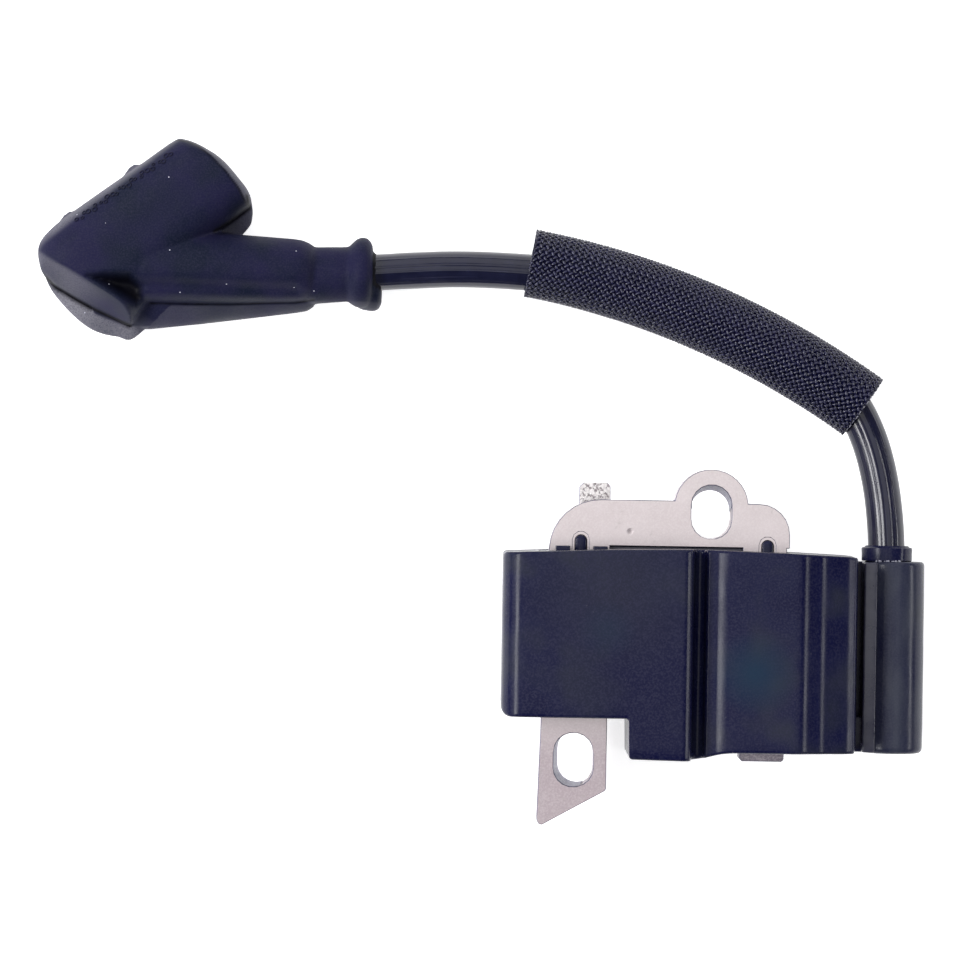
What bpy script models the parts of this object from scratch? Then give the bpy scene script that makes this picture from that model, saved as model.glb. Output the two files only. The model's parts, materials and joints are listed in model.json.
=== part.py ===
"""Flywheel-side ignition coil of a small two-stroke engine, lying on its back.

Units are metres, +Z is up. The moulded case rests on the plane Z = 0, its flat
front looks up, the core's two legs point along -Y and the high-tension lead
leaves along +Y. X = Y = 0 is the middle of the case and core taken together.
"""
import math

import bmesh
import bpy
import numpy as np
from mathutils import Vector

MM = 0.001

# laminated core: a yoke with an ear, a wide left leg and a narrow middle leg
LAMINATION_COUNT = 8
LAMINATION_PITCH = 0.75 * MM
LAMINATION_GAP = 0.02 * MM
CORE_BACK = 8.0 * MM
CORE_DEPTH = LAMINATION_COUNT * LAMINATION_PITCH
CORE_MIDDLE_Z = CORE_BACK + CORE_DEPTH / 2
YOKE_BOTTOM = 13.55 * MM
YOKE_TOP = 19.73 * MM
YOKE_SHOULDER_TOP = 19.45 * MM
YOKE_LEFT_RADIUS = 6.9 * MM
YOKE_RIGHT = 9.87 * MM
YOKE_RIGHT_RADIUS = 4.1 * MM
LEFT_LEG_TOP_X = -22.35 * MM
LEFT_LEG_TIP_X = -23.45 * MM
LEFT_LEG_RIGHT = -14.20 * MM
LEFT_LEG_TIP_Y = -23.97 * MM
POLE_TOP_Y = -19.30 * MM
POLE_CORNER = 0.7 * MM
MIDDLE_LEG_LEFT = 3.59 * MM
MIDDLE_LEG_RIGHT = 9.51 * MM
MIDDLE_LEG_TIP_Y = -15.0 * MM
EAR_CENTRE = (-0.69 * MM, 19.03 * MM)
EAR_RADIUS = 4.95 * MM
SCREW_SLOT_WIDTH = 5.4 * MM
SCREW_SLOT_LENGTH = 7.25 * MM
UPPER_SLOT = (-0.67 * MM, 18.28 * MM)
LOWER_SLOT = (-18.65 * MM, -15.18 * MM)
KEY_HOLE_WIDTH = 2.2 * MM
KEY_HOLE_BOTTOM = 11.4 * MM
LEFT_KEY = (-18.10 * MM, 15.40 * MM)
RIGHT_KEY = (6.90 * MM, 15.05 * MM)
KEY_BAR_WIDTH = 1.56 * MM

# moulded case: left block, groove, winding chamber and lead tower
CASE_LEFT = -28.50 * MM
CASE_RIGHT = 19.20 * MM
CASE_TOP = 13.0 * MM
BLOCK_BOTTOM = -9.25 * MM
BLOCK_STEP_X = -11.45 * MM
COMPARTMENT_BOTTOM = -14.6 * MM
CHAMBER_BOTTOM = -13.7 * MM
BLOCK_FRONT = 22.0 * MM
CHAMBER_FRONT = 20.0 * MM
GROOVE_FLOOR = 16.2 * MM
CASE_WALL = 1.6 * MM
SIDE_RADIUS = 3.2 * MM
FIT = 0.3 * MM
POTTING_BACK = 0.6 * MM
POTTING_FRONT = 2.6 * MM
POTTING_FIT = 0.05 * MM

# tower, collar and output pin, on the lead's own axis
TOWER_X = 24.30 * MM
TOWER_RADIUS = 4.2 * MM
TOWER_Z = 7.8 * MM
TOWER_TOP = 12.0 * MM
TOWER_BOTTOM = -13.85 * MM
WEB_FRONT = 8.6 * MM
LEAD_AXIS_X = 23.35 * MM
COLLAR_RADIUS = 3.42 * MM
COLLAR_LIP_RADIUS = 2.95 * MM
COLLAR_TOP = 13.9 * MM
PIN_RADIUS = 0.9 * MM
PIN_FOOT_Y = -11.0 * MM
LEAD_END_Y = -4.0 * MM

# high-tension lead, the loose braided sleeve on it and the plug boot
LEAD_DIAMETER = 5.0 * MM
LEAD_ROUTE = [
    (23.35, -4.0, 7.80), (23.35, 5.0, 7.80), (23.25, 14.9, 7.55), (22.40, 22.5, 7.00),
    (18.59, 32.82, 6.55), (9.49, 40.61, 6.45), (-1.89, 44.25, 6.42), (-12.84, 48.63, 6.40),
    (-24.54, 50.19, 6.40), (-34.30, 50.53, 6.40), (-45.90, 49.92, 6.40), (-60.00, 49.10, 6.40),
    (-72.00, 48.70, 6.40),
]
SLEEVE_LEFT = (-25.3 * MM, 51.5 * MM)
SLEEVE_RIGHT = (19.8 * MM, 32.85 * MM)
SLEEVE_BEND = 114.0 * MM
SLEEVE_Z = 6.30 * MM
SLEEVE_OUTER = 4.5 * MM
SLEEVE_INNER = 4.1 * MM
SLEEVE_PIVOT = (-29.13 * MM, -27.74 * MM)
BOOT_Z = 6.5 * MM
BOOT_MOUTH = (-68.30 * MM, 63.10 * MM)
BOOT_ANGLE = math.radians(45.0)
SOCKET_RADIUS = 4.6 * MM
SOCKET_DEPTH = 17.0 * MM
SPRING_SEAT_RADIUS = 3.4 * MM
SPRING_SEAT_DEPTH = 21.0 * MM
SPRING_RADIUS = 2.65 * MM
SPRING_WIRE = 0.4 * MM
SPRING_TURNS = 5

# windings on the two legs, and the electronics between them
SPOOL_TOP = 9.4 * MM
CHARGE_SPOOL_BOTTOM = -7.2 * MM
TRANSFORMER_BOTTOM = -11.0 * MM
FLANGE = 0.6 * MM
BOARD_LEFT = -9.5 * MM
BOARD_RIGHT = -1.6 * MM
BOARD_BACK = 4.0 * MM
BOARD_FRONT = 5.2 * MM

COLOURS = {
    "core steel": ((0.62, 0.58, 0.58, 1.0), 0.38, 1.0),
    "case plastic": ((0.012, 0.012, 0.018, 1.0), 0.34, 0.0),
    "potting resin": ((0.015, 0.014, 0.016, 1.0), 0.22, 0.0),
    "bobbin plastic": ((0.55, 0.53, 0.46, 1.0), 0.5, 0.0),
    "enamelled copper": ((0.55, 0.20, 0.06, 1.0), 0.3, 1.0),
    "board laminate": ((0.03, 0.16, 0.07, 1.0), 0.45, 0.0),
    "component body": ((0.03, 0.03, 0.035, 1.0), 0.4, 0.0),
    "film capacitor": ((0.45, 0.10, 0.03, 1.0), 0.4, 0.0),
    "resistor body": ((0.55, 0.44, 0.27, 1.0), 0.55, 0.0),
    "tinned steel": ((0.60, 0.60, 0.60, 1.0), 0.35, 1.0),
    "spring brass": ((0.62, 0.46, 0.20, 1.0), 0.3, 1.0),
    "lead jacket": ((0.015, 0.015, 0.02, 1.0), 0.3, 0.0),
    "braid yarn": ((0.02, 0.02, 0.024, 1.0), 0.6, 0.0),
    "boot rubber": ((0.02, 0.02, 0.022, 1.0), 0.7, 0.0),
}


def clear_scene():
    for thing in list(bpy.data.objects):
        bpy.data.objects.remove(thing, do_unlink=True)


def material(name):
    """The named material, made once from its colour, roughness and metallic value."""
    found = bpy.data.materials.get(name)
    if found:
        return found
    colour, roughness, metallic = COLOURS[name]
    made = bpy.data.materials.new(name)
    made.use_nodes = True
    shader = made.node_tree.nodes["Principled BSDF"]
    shader.inputs["Base Color"].default_value = colour
    shader.inputs["Roughness"].default_value = roughness
    shader.inputs["Metallic"].default_value = metallic
    made.diffuse_color = colour
    return made


def add_object(name, bm, colour, smooth_angle=None):
    """Turn a bmesh into a named object with outward faces."""
    bmesh.ops.recalc_face_normals(bm, faces=bm.faces)
    mesh = bpy.data.meshes.new(name)
    bm.to_mesh(mesh)
    bm.free()
    if smooth_angle:
        mesh.shade_smooth()
        mesh.set_sharp_from_angle(angle=math.radians(smooth_angle))
    thing = bpy.data.objects.new(name, mesh)
    bpy.context.scene.collection.objects.link(thing)
    mesh.materials.append(material(colour))
    return thing


def arc(centre, radius, start, end, steps):
    """Points on a circle from start to end, in degrees."""
    points = []
    for step in range(steps + 1):
        angle = math.radians(start + (end - start) * step / steps)
        points.append((centre[0] + radius * math.cos(angle), centre[1] + radius * math.sin(angle)))
    return points


def slot_outline(centre, width, length, steps=9):
    """A round-ended slot that stands along Y."""
    straight = (length - width) / 2
    top = arc((centre[0], centre[1] + straight), width / 2, 0, 180, steps)
    bottom = arc((centre[0], centre[1] - straight), width / 2, 180, 360, steps)
    return top + bottom


def rounded_rectangle(width, height, radius, steps=3):
    """Corner arcs of a rectangle about the origin, anticlockwise."""
    points = []
    for start, sx, sy in ((0, 1, 1), (90, -1, 1), (180, -1, -1), (270, 1, -1)):
        centre = (sx * (width / 2 - radius), sy * (height / 2 - radius))
        points += arc(centre, radius, start, start + 90, steps)
    return points


def prism(outline, low, high, holes=(), axes="xyz"):
    """Extrude an outline with holes; axes names where (u, v, extrusion) go."""
    order = ["xyz".index(axis) for axis in axes]

    def place(u, v, w):
        spot = [0.0, 0.0, 0.0]
        for index, value in zip(order, (u, v, w)):
            spot[index] = value
        return spot

    bm = bmesh.new()
    edges = []
    for loop in [outline, *holes]:
        ring = [bm.verts.new(place(u, v, low)) for u, v in loop]
        for first, second in zip(ring, ring[1:] + ring[:1]):
            edges.append(bm.edges.new((first, second)))
    filled = bmesh.ops.triangle_fill(bm, use_beauty=True, use_dissolve=False, edges=edges)
    faces = [item for item in filled["geom"] if isinstance(item, bmesh.types.BMFace)]
    raised = bmesh.ops.extrude_face_region(bm, geom=faces)
    moved = [item for item in raised["geom"] if isinstance(item, bmesh.types.BMVert)]
    bmesh.ops.translate(bm, verts=moved, vec=Vector(place(0, 0, high - low)))
    return bm


def box(x0, x1, y0, y1, z0, z1):
    return prism([(x0, y0), (x1, y0), (x1, y1), (x0, y1)], z0, z1)


def skin(rings, closed_ends=True, hollow=False):
    """Faces between equal rings of points; a hollow skin joins its last ring to its first."""
    bm = bmesh.new()
    made = [[bm.verts.new(point) for point in ring] for ring in rings]
    pairs = list(zip(made, made[1:]))
    if hollow:
        pairs.append((made[-1], made[0]))
    for first, second in pairs:
        for index in range(len(first)):
            after = (index + 1) % len(first)
            bm.faces.new((first[index], first[after], second[after], second[index]))
    if closed_ends and not hollow:
        bm.faces.new(made[0])
        bm.faces.new(made[-1])
    return bm


def turned(profile, base, axis, steps=24):
    """Turn (distance along the axis, radius) points about an axis, with flat ends."""
    axis = Vector(axis).normalized()
    side = axis.orthogonal().normalized()
    other = axis.cross(side)
    rings = []
    for along, radius in profile:
        ring = []
        for step in range(steps):
            angle = 2 * math.pi * step / steps
            offset = side * math.cos(angle) + other * math.sin(angle)
            ring.append(Vector(base) + axis * along + offset * radius)
        rings.append(ring)
    return rings


def swept(points, radius, sides):
    """Round tube along points, its frame carried along without twist."""
    path = [Vector(point) for point in points]
    rings = []
    side = None
    for index, point in enumerate(path):
        ahead = path[min(index + 1, len(path) - 1)]
        behind = path[max(index - 1, 0)]
        along = (ahead - behind).normalized()
        if side is None:
            side = along.orthogonal().normalized()
        side = (side - along * side.dot(along)).normalized()
        other = along.cross(side)
        ring = []
        for step in range(sides):
            angle = 2 * math.pi * step / sides
            ring.append(point + (side * math.cos(angle) + other * math.sin(angle)) * radius)
        rings.append(ring)
    return rings


def smooth_route(route, count):
    """Natural cubic spline through the route's points, sampled at equal parameters."""
    known = np.array(route) * MM
    gaps = np.linalg.norm(np.diff(known, axis=0), axis=1)
    knots = np.concatenate([[0.0], np.cumsum(gaps)])
    size = len(known)
    system = np.eye(size)
    right = np.zeros_like(known)
    for row in range(1, size - 1):
        system[row, row - 1] = gaps[row - 1]
        system[row, row] = 2 * (gaps[row - 1] + gaps[row])
        system[row, row + 1] = gaps[row]
        slopes = (known[row + 1] - known[row]) / gaps[row] - (known[row] - known[row - 1]) / gaps[row - 1]
        right[row] = 6 * slopes
    bends = np.linalg.solve(system, right)
    points = []
    for value in np.linspace(0.0, knots[-1], count):
        span = min(np.searchsorted(knots, value, side="right") - 1, size - 2)
        gap = gaps[span]
        after = (value - knots[span]) / gap
        before = 1 - after
        curve = (before ** 3 - before) * bends[span] + (after ** 3 - after) * bends[span + 1]
        points.append(Vector(before * known[span] + after * known[span + 1] + curve * gap * gap / 6))
    return points


def combine(target, tool, operation):
    """Join or cut a target with a tool, which stays out of the model."""
    modifier = target.modifiers.new(operation.lower(), "BOOLEAN")
    modifier.operation = operation
    modifier.solver = "EXACT"
    modifier.object = tool
    tool.hide_render = True
    tool.display_type = "WIRE"


def tool(name, bm):
    return add_object("tool_" + name, bm, "case plastic")


def lamination_outline():
    left_slope = (LEFT_LEG_TIP_X - LEFT_LEG_TOP_X) / (LEFT_LEG_TIP_Y - YOKE_BOTTOM)
    shoulder_x = LEFT_LEG_TOP_X + YOKE_LEFT_RADIUS
    shoulder = (shoulder_x, YOKE_TOP - YOKE_LEFT_RADIUS)
    drop = YOKE_TOP - EAR_CENTRE[1]
    ear_left = math.degrees(math.pi - math.asin(drop / EAR_RADIUS))
    ear_right = math.degrees(math.asin((YOKE_SHOULDER_TOP - EAR_CENTRE[1]) / EAR_RADIUS))
    right_centre = (YOKE_RIGHT - YOKE_RIGHT_RADIUS, YOKE_SHOULDER_TOP - YOKE_RIGHT_RADIUS)
    points = [(LEFT_LEG_TIP_X, LEFT_LEG_TIP_Y + POLE_CORNER)]
    points.append((LEFT_LEG_TIP_X + 0.25 * MM, LEFT_LEG_TIP_Y + 0.15 * MM))
    points.append((LEFT_LEG_TIP_X + POLE_CORNER, LEFT_LEG_TIP_Y))
    points.append((LEFT_LEG_RIGHT - 0.25 * MM, POLE_TOP_Y - 0.05 * MM))
    points.append((LEFT_LEG_RIGHT, POLE_TOP_Y + 0.25 * MM))
    points.append((LEFT_LEG_RIGHT, YOKE_BOTTOM))
    points.append((MIDDLE_LEG_LEFT, YOKE_BOTTOM))
    points.append((MIDDLE_LEG_LEFT, MIDDLE_LEG_TIP_Y + 0.3 * MM))
    points.append((MIDDLE_LEG_LEFT + 0.3 * MM, MIDDLE_LEG_TIP_Y))
    points.append((MIDDLE_LEG_RIGHT - 0.3 * MM, MIDDLE_LEG_TIP_Y))
    points.append((MIDDLE_LEG_RIGHT, MIDDLE_LEG_TIP_Y + 0.3 * MM))
    points.append((MIDDLE_LEG_RIGHT, YOKE_BOTTOM))
    points.append((YOKE_RIGHT, YOKE_BOTTOM))
    points += arc(right_centre, YOKE_RIGHT_RADIUS, 0, 90, 6)
    points += arc(EAR_CENTRE, EAR_RADIUS, ear_right, ear_left, 16)
    points += arc(shoulder, YOKE_LEFT_RADIUS, 90, 176, 8)
    points.append((LEFT_LEG_TOP_X + left_slope * -1 * MM, YOKE_BOTTOM - 1 * MM))
    return points


def key_hole(key, width, bottom):
    """A slit with a round top end and a square bottom end."""
    top = arc((key[0], key[1] - width / 2), width / 2, 0, 180, 5)
    return top + [(key[0] - width / 2, bottom), (key[0] + width / 2, bottom)]


def make_core():
    holes = [
        slot_outline(UPPER_SLOT, SCREW_SLOT_WIDTH, SCREW_SLOT_LENGTH),
        slot_outline(LOWER_SLOT, SCREW_SLOT_WIDTH, SCREW_SLOT_LENGTH),
        key_hole(LEFT_KEY, KEY_HOLE_WIDTH, KEY_HOLE_BOTTOM),
        key_hole(RIGHT_KEY, KEY_HOLE_WIDTH, KEY_HOLE_BOTTOM),
    ]
    for number in range(LAMINATION_COUNT):
        low = CORE_BACK + number * LAMINATION_PITCH
        sheet = prism(lamination_outline(), low, low + LAMINATION_PITCH - LAMINATION_GAP, holes)
        add_object(f"core_lamination_{number + 1:02d}", sheet, "core steel")


def case_plan(inset=0.0):
    """Outline of the case seen from the front, moved in by inset."""
    corner = 1.4 * MM
    left = CASE_LEFT + inset
    right = CASE_RIGHT - inset
    points = arc((left + corner, BLOCK_BOTTOM + inset + corner), corner, 180, 270, 4)
    points.append((BLOCK_STEP_X + inset, BLOCK_BOTTOM + inset))
    points.append((BLOCK_STEP_X + inset, COMPARTMENT_BOTTOM + inset))
    points.append((-3.4 * MM, COMPARTMENT_BOTTOM - 0.18 * MM + inset))
    points.append((-1.9 * MM, COMPARTMENT_BOTTOM + inset))
    points.append((0.9 * MM, CHAMBER_BOTTOM - 0.15 * MM + inset))
    points.append((2.4 * MM, CHAMBER_BOTTOM + inset))
    points.append((right, CHAMBER_BOTTOM + inset))
    points.append((right, CASE_TOP - 0.4 * MM - inset))
    points.append((9.5 * MM, CASE_TOP - inset))
    points.append((-3.8 * MM, CASE_TOP + 0.3 * MM - inset))
    points.append((-14.1 * MM, CASE_TOP + 0.15 * MM - inset))
    points.append((left, CASE_TOP - 0.4 * MM - inset))
    return points


def case_profile():
    """Section of the case across X, from its back plane up over the front."""
    shoulder = (CASE_LEFT + SIDE_RADIUS, BLOCK_FRONT - SIDE_RADIUS)
    points = [(CASE_LEFT, 0.0)]
    points += arc(shoulder, SIDE_RADIUS, 180, 90, 6)
    points += arc((-4.9 * MM, BLOCK_FRONT - 1.6 * MM), 1.6 * MM, 90, 5, 4)
    points.append((-2.95 * MM, GROOVE_FLOOR + 1.4 * MM))
    points.append((-2.3 * MM, GROOVE_FLOOR))
    points.append((-1.3 * MM, GROOVE_FLOOR + 0.2 * MM))
    points.append((-0.4 * MM, GROOVE_FLOOR + 1.5 * MM))
    points += arc((1.3 * MM, CHAMBER_FRONT - 1.2 * MM), 1.2 * MM, 172, 90, 3)
    points.append((11.2 * MM, CHAMBER_FRONT))
    points.append((13.1 * MM, CHAMBER_FRONT - 0.6 * MM))
    points.append((15.1 * MM, CHAMBER_FRONT - 2.0 * MM))
    points.append((17.1 * MM, CHAMBER_FRONT - 4.4 * MM))
    points.append((18.7 * MM, CHAMBER_FRONT - 7.6 * MM))
    points.append((CASE_RIGHT, CHAMBER_FRONT - 10.2 * MM))
    points.append((CASE_RIGHT, 0.0))
    return points


def cavity_profile():
    """Section of the hollow inside the case, open at the back."""
    left = CASE_LEFT + CASE_WALL
    right = CASE_RIGHT - CASE_WALL
    block = BLOCK_FRONT - CASE_WALL
    chamber = CHAMBER_FRONT - CASE_WALL
    floor = GROOVE_FLOOR - CASE_WALL
    return [
        (left, -1 * MM), (left, block - 1.9 * MM), (left + 1.9 * MM, block),
        (-5.4 * MM, block), (-4.7 * MM, block - 0.7 * MM), (-4.5 * MM, floor + 1.0 * MM),
        (-3.4 * MM, floor), (-0.6 * MM, floor), (0.6 * MM, floor + 1.0 * MM),
        (1.4 * MM, chamber - 0.8 * MM), (2.2 * MM, chamber), (11.0 * MM, chamber),
        (12.6 * MM, chamber - 0.6 * MM), (14.3 * MM, chamber - 1.7 * MM),
        (16.0 * MM, chamber - 3.8 * MM), (17.1 * MM, chamber - 6.4 * MM),
        (right, chamber - 9.0 * MM), (right, -1 * MM),
    ]


def leg_tunnel(left, right, bottom):
    return box(left - FIT, right + FIT, bottom, CASE_TOP + 1 * MM,
               CORE_BACK - FIT, CORE_BACK + CORE_DEPTH + FIT)


def make_case():
    deep = 30 * MM
    body = add_object("coil_housing", prism(case_plan(), 0.0, deep), "case plastic")
    front = prism(case_profile(), -deep, deep, axes="xzy")
    combine(body, tool("front", front), "INTERSECT")

    web = box(CASE_RIGHT - 1.0 * MM, TOWER_X - 2.6 * MM, TOWER_BOTTOM + 0.05 * MM, TOWER_TOP - 0.05 * MM,
              TOWER_Z - TOWER_RADIUS, WEB_FRONT)
    combine(body, tool("web", web), "UNION")
    length = TOWER_TOP - TOWER_BOTTOM
    shape = [(0, TOWER_RADIUS - 0.3 * MM), (0.3 * MM, TOWER_RADIUS), (length, TOWER_RADIUS)]
    tower = skin(turned(shape, (TOWER_X, TOWER_BOTTOM, TOWER_Z), (0, 1, 0), 32))
    combine(body, tool("tower", tower), "UNION")

    hollow = tool("hollow", prism(case_plan(CASE_WALL), -1 * MM, deep))
    roof = tool("roof", prism(cavity_profile(), -deep, deep, axes="xzy"))
    combine(hollow, roof, "INTERSECT")
    combine(body, hollow, "DIFFERENCE")

    left_tunnel = leg_tunnel(LEFT_LEG_TIP_X + 0.3 * MM, LEFT_LEG_RIGHT, BLOCK_BOTTOM - 1 * MM)
    combine(body, tool("left_tunnel", left_tunnel), "DIFFERENCE")
    middle_tunnel = leg_tunnel(MIDDLE_LEG_LEFT, MIDDLE_LEG_RIGHT, CHAMBER_BOTTOM - 1 * MM)
    combine(body, tool("middle_tunnel", middle_tunnel), "DIFFERENCE")
    for name, key, fall in (("left_key", LEFT_KEY, 0.45 * MM), ("right_key", RIGHT_KEY, 0.45 * MM)):
        shorter = (key[0], key[1] - fall)
        bar = prism(key_hole(shorter, KEY_BAR_WIDTH, KEY_HOLE_BOTTOM + 0.4 * MM),
                    CORE_BACK - 0.6 * MM, CORE_BACK + CORE_DEPTH + 0.4 * MM)
        combine(body, tool(name, bar), "UNION")

    bore = [(LEAD_END_Y - 0.5 * MM, LEAD_DIAMETER / 2 + 0.25 * MM), (TOWER_TOP + 1 * MM, LEAD_DIAMETER / 2 + 0.25 * MM)]
    wide = skin(turned(bore, (LEAD_AXIS_X, 0, TOWER_Z), (0, 1, 0)))
    combine(body, tool("lead_bore", wide), "DIFFERENCE")
    narrow = [(PIN_FOOT_Y - 0.5 * MM, PIN_RADIUS + 0.4 * MM), (LEAD_END_Y, PIN_RADIUS + 0.4 * MM)]
    pocket = skin(turned(narrow, (LEAD_AXIS_X, 0, TOWER_Z), (0, 1, 0), 16))
    combine(body, tool("pin_pocket", pocket), "DIFFERENCE")
    passage = box(CASE_RIGHT - 2.4 * MM, LEAD_AXIS_X - 0.4 * MM, PIN_FOOT_Y + 0.2 * MM, PIN_FOOT_Y + 2.0 * MM,
                  TOWER_Z - 1.2 * MM, TOWER_Z + 0.2 * MM)
    combine(body, tool("wire_passage", passage), "DIFFERENCE")
    blade = box(-18.65 * MM, -13.75 * MM, CASE_TOP - 2.5 * MM, CASE_TOP + 1 * MM, 6.0 * MM, 7.4 * MM)
    combine(body, tool("terminal_slit", blade), "DIFFERENCE")


def make_potting():
    fill = prism(case_plan(CASE_WALL + POTTING_FIT), POTTING_BACK, POTTING_FRONT)
    add_object("potting_compound", fill, "potting resin")


def make_collar():
    inner = LEAD_DIAMETER / 2 + 0.2 * MM
    seat = TOWER_TOP + 0.02 * MM
    profile = [(seat, inner), (seat, COLLAR_RADIUS), (COLLAR_TOP - 0.2 * MM, COLLAR_RADIUS),
               (COLLAR_TOP, COLLAR_RADIUS - 0.2 * MM), (COLLAR_TOP, COLLAR_LIP_RADIUS),
               (COLLAR_TOP + 0.2 * MM, COLLAR_LIP_RADIUS), (COLLAR_TOP + 0.2 * MM, inner)]
    ring = skin(turned(profile, (LEAD_AXIS_X, 0, TOWER_Z), (0, 1, 0)), hollow=True)
    add_object("lead_collar", ring, "case plastic", 30)


def spool(name, centre_x, inner, stations, colour):
    """Rectangular reel around a leg: stations are (y, width, height, corner radius)."""
    rings = []
    for y, width, height, radius in stations:
        loop = rounded_rectangle(width, height, radius)
        rings.append([(centre_x + u, y, CORE_MIDDLE_Z + v) for u, v in loop])
    width, height, radius = inner
    loop = rounded_rectangle(width, height, radius)
    for y in (stations[-1][0], stations[0][0]):
        rings.append([(centre_x + u, y, CORE_MIDDLE_Z + v) for u, v in loop])
    add_object(name, skin(rings, hollow=True), colour)


def reel_stations(walls, barrel, flange):
    """Steps of a reel whose flanges fill each (low, high) span of walls."""
    stations = []
    for number, (low, high) in enumerate(walls):
        if number > 0:
            stations.append((low, *barrel))
        stations.append((low, *flange))
        stations.append((high, *flange))
        if number < len(walls) - 1:
            stations.append((high, *barrel))
    return stations


def winding(name, centre_x, low, high, outer, inner):
    """Wound turns between two flanges, clear of them by a hair."""
    clear = 0.04 * MM
    spool(name, centre_x, inner, [(low + clear, *outer), (high - clear, *outer)], "enamelled copper")


def make_charge_coil():
    """Charging and trigger turns on one reel round the left leg."""
    centre = (LEFT_LEG_TIP_X + 0.6 * MM + LEFT_LEG_RIGHT) / 2
    hole = (9.5 * MM, CORE_DEPTH + 0.6 * MM, 0.3 * MM)
    barrel = (10.7 * MM, CORE_DEPTH + 1.8 * MM, 0.6 * MM)
    flange = (15.0 * MM, 12.2 * MM, 1.5 * MM)
    low = CHARGE_SPOOL_BOTTOM
    split = low + 3.2 * MM
    walls = [(low, low + FLANGE), (split, split + FLANGE), (SPOOL_TOP - FLANGE, SPOOL_TOP)]
    spool("charge_coil_bobbin", centre, hole, reel_stations(walls, barrel, flange), "bobbin plastic")
    turns = (14.4 * MM, 11.6 * MM, 2.0 * MM)
    inside = (10.78 * MM, CORE_DEPTH + 1.88 * MM, 0.6 * MM)
    winding("charge_coil_winding", centre, split + FLANGE, SPOOL_TOP - FLANGE, turns, inside)
    few = (13.0 * MM, 10.2 * MM, 1.6 * MM)
    winding("trigger_winding", centre, low + FLANGE, split, few, inside)


def make_transformer():
    """Primary and secondary windings, one inside the other, round the middle leg."""
    centre = (MIDDLE_LEG_LEFT + MIDDLE_LEG_RIGHT) / 2
    low = TRANSFORMER_BOTTOM
    walls = [(low, low + FLANGE), (SPOOL_TOP - FLANGE, SPOOL_TOP)]
    across = CORE_DEPTH
    spool("primary_bobbin", centre, (across + 0.6 * MM, across + 0.6 * MM, 0.3 * MM),
          reel_stations(walls, (7.6 * MM, 7.6 * MM, 0.6 * MM), (9.1 * MM, 9.1 * MM, 1.0 * MM)), "bobbin plastic")
    winding("primary_winding", centre, walls[0][1], walls[1][0], (9.0 * MM, 9.0 * MM, 1.2 * MM),
            (7.68 * MM, 7.68 * MM, 0.6 * MM))
    spool("secondary_bobbin", centre, (9.3 * MM, 9.3 * MM, 1.0 * MM),
          reel_stations(walls, (10.2 * MM, 10.2 * MM, 1.4 * MM), (12.0 * MM, 12.0 * MM, 2.4 * MM)), "bobbin plastic")
    winding("secondary_winding", centre, walls[0][1], walls[1][0], (11.7 * MM, 11.7 * MM, 2.2 * MM),
            (10.28 * MM, 10.28 * MM, 1.4 * MM))


def make_electronics():
    """Circuit board in the compartment between the reels, with its parts."""
    foot = BOARD_FRONT + 0.05 * MM
    add_object("circuit_board", box(BOARD_LEFT, BOARD_RIGHT, -12.8 * MM, 9.0 * MM, BOARD_BACK, BOARD_FRONT),
               "board laminate")
    can = prism(rounded_rectangle(6.6 * MM, 9.0 * MM, 1.2 * MM), foot, foot + 8.0 * MM)
    bmesh.ops.translate(can, verts=can.verts, vec=(-6.0 * MM, 3.6 * MM, 0))
    add_object("storage_capacitor", can, "film capacitor")
    tab = prism(arc((-6.9 * MM, -3.4 * MM), 2.3 * MM, -35, 215, 12), foot, foot + 4.6 * MM)
    add_object("thyristor", tab, "component body")
    for name, y in (("rectifier_diode", -7.4 * MM), ("clamp_diode", -11.0 * MM)):
        profile = [(0, 0.35 * MM), (1.0 * MM, 0.35 * MM), (1.0 * MM, 1.3 * MM), (5.2 * MM, 1.3 * MM),
                   (5.2 * MM, 0.35 * MM), (6.2 * MM, 0.35 * MM)]
        rings = turned(profile, (-9.1 * MM, y, foot + 1.35 * MM), (1, 0, 0), 14)
        add_object(name, skin(rings), "component body", 30)
    for name, spot in (("gate_resistor", -1.9 * MM), ("discharge_resistor", -3.6 * MM)):
        profile = [(0, 0.5 * MM), (0.3 * MM, 0.75 * MM), (1.0 * MM, 0.75 * MM), (1.2 * MM, 0.6 * MM),
                   (2.6 * MM, 0.6 * MM), (2.8 * MM, 0.75 * MM), (3.5 * MM, 0.75 * MM), (3.8 * MM, 0.5 * MM)]
        rings = turned(profile, (spot, -4.9 * MM, foot + 0.8 * MM), (0, 1, 0), 12)
        add_object(name, skin(rings), "resistor body", 40)
    add_object("timing_chip", box(-8.4 * MM, -3.4 * MM, -6.0 * MM, -2.0 * MM, BOARD_BACK - 1.25 * MM,
                                  BOARD_BACK - 0.05 * MM), "component body")


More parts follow.
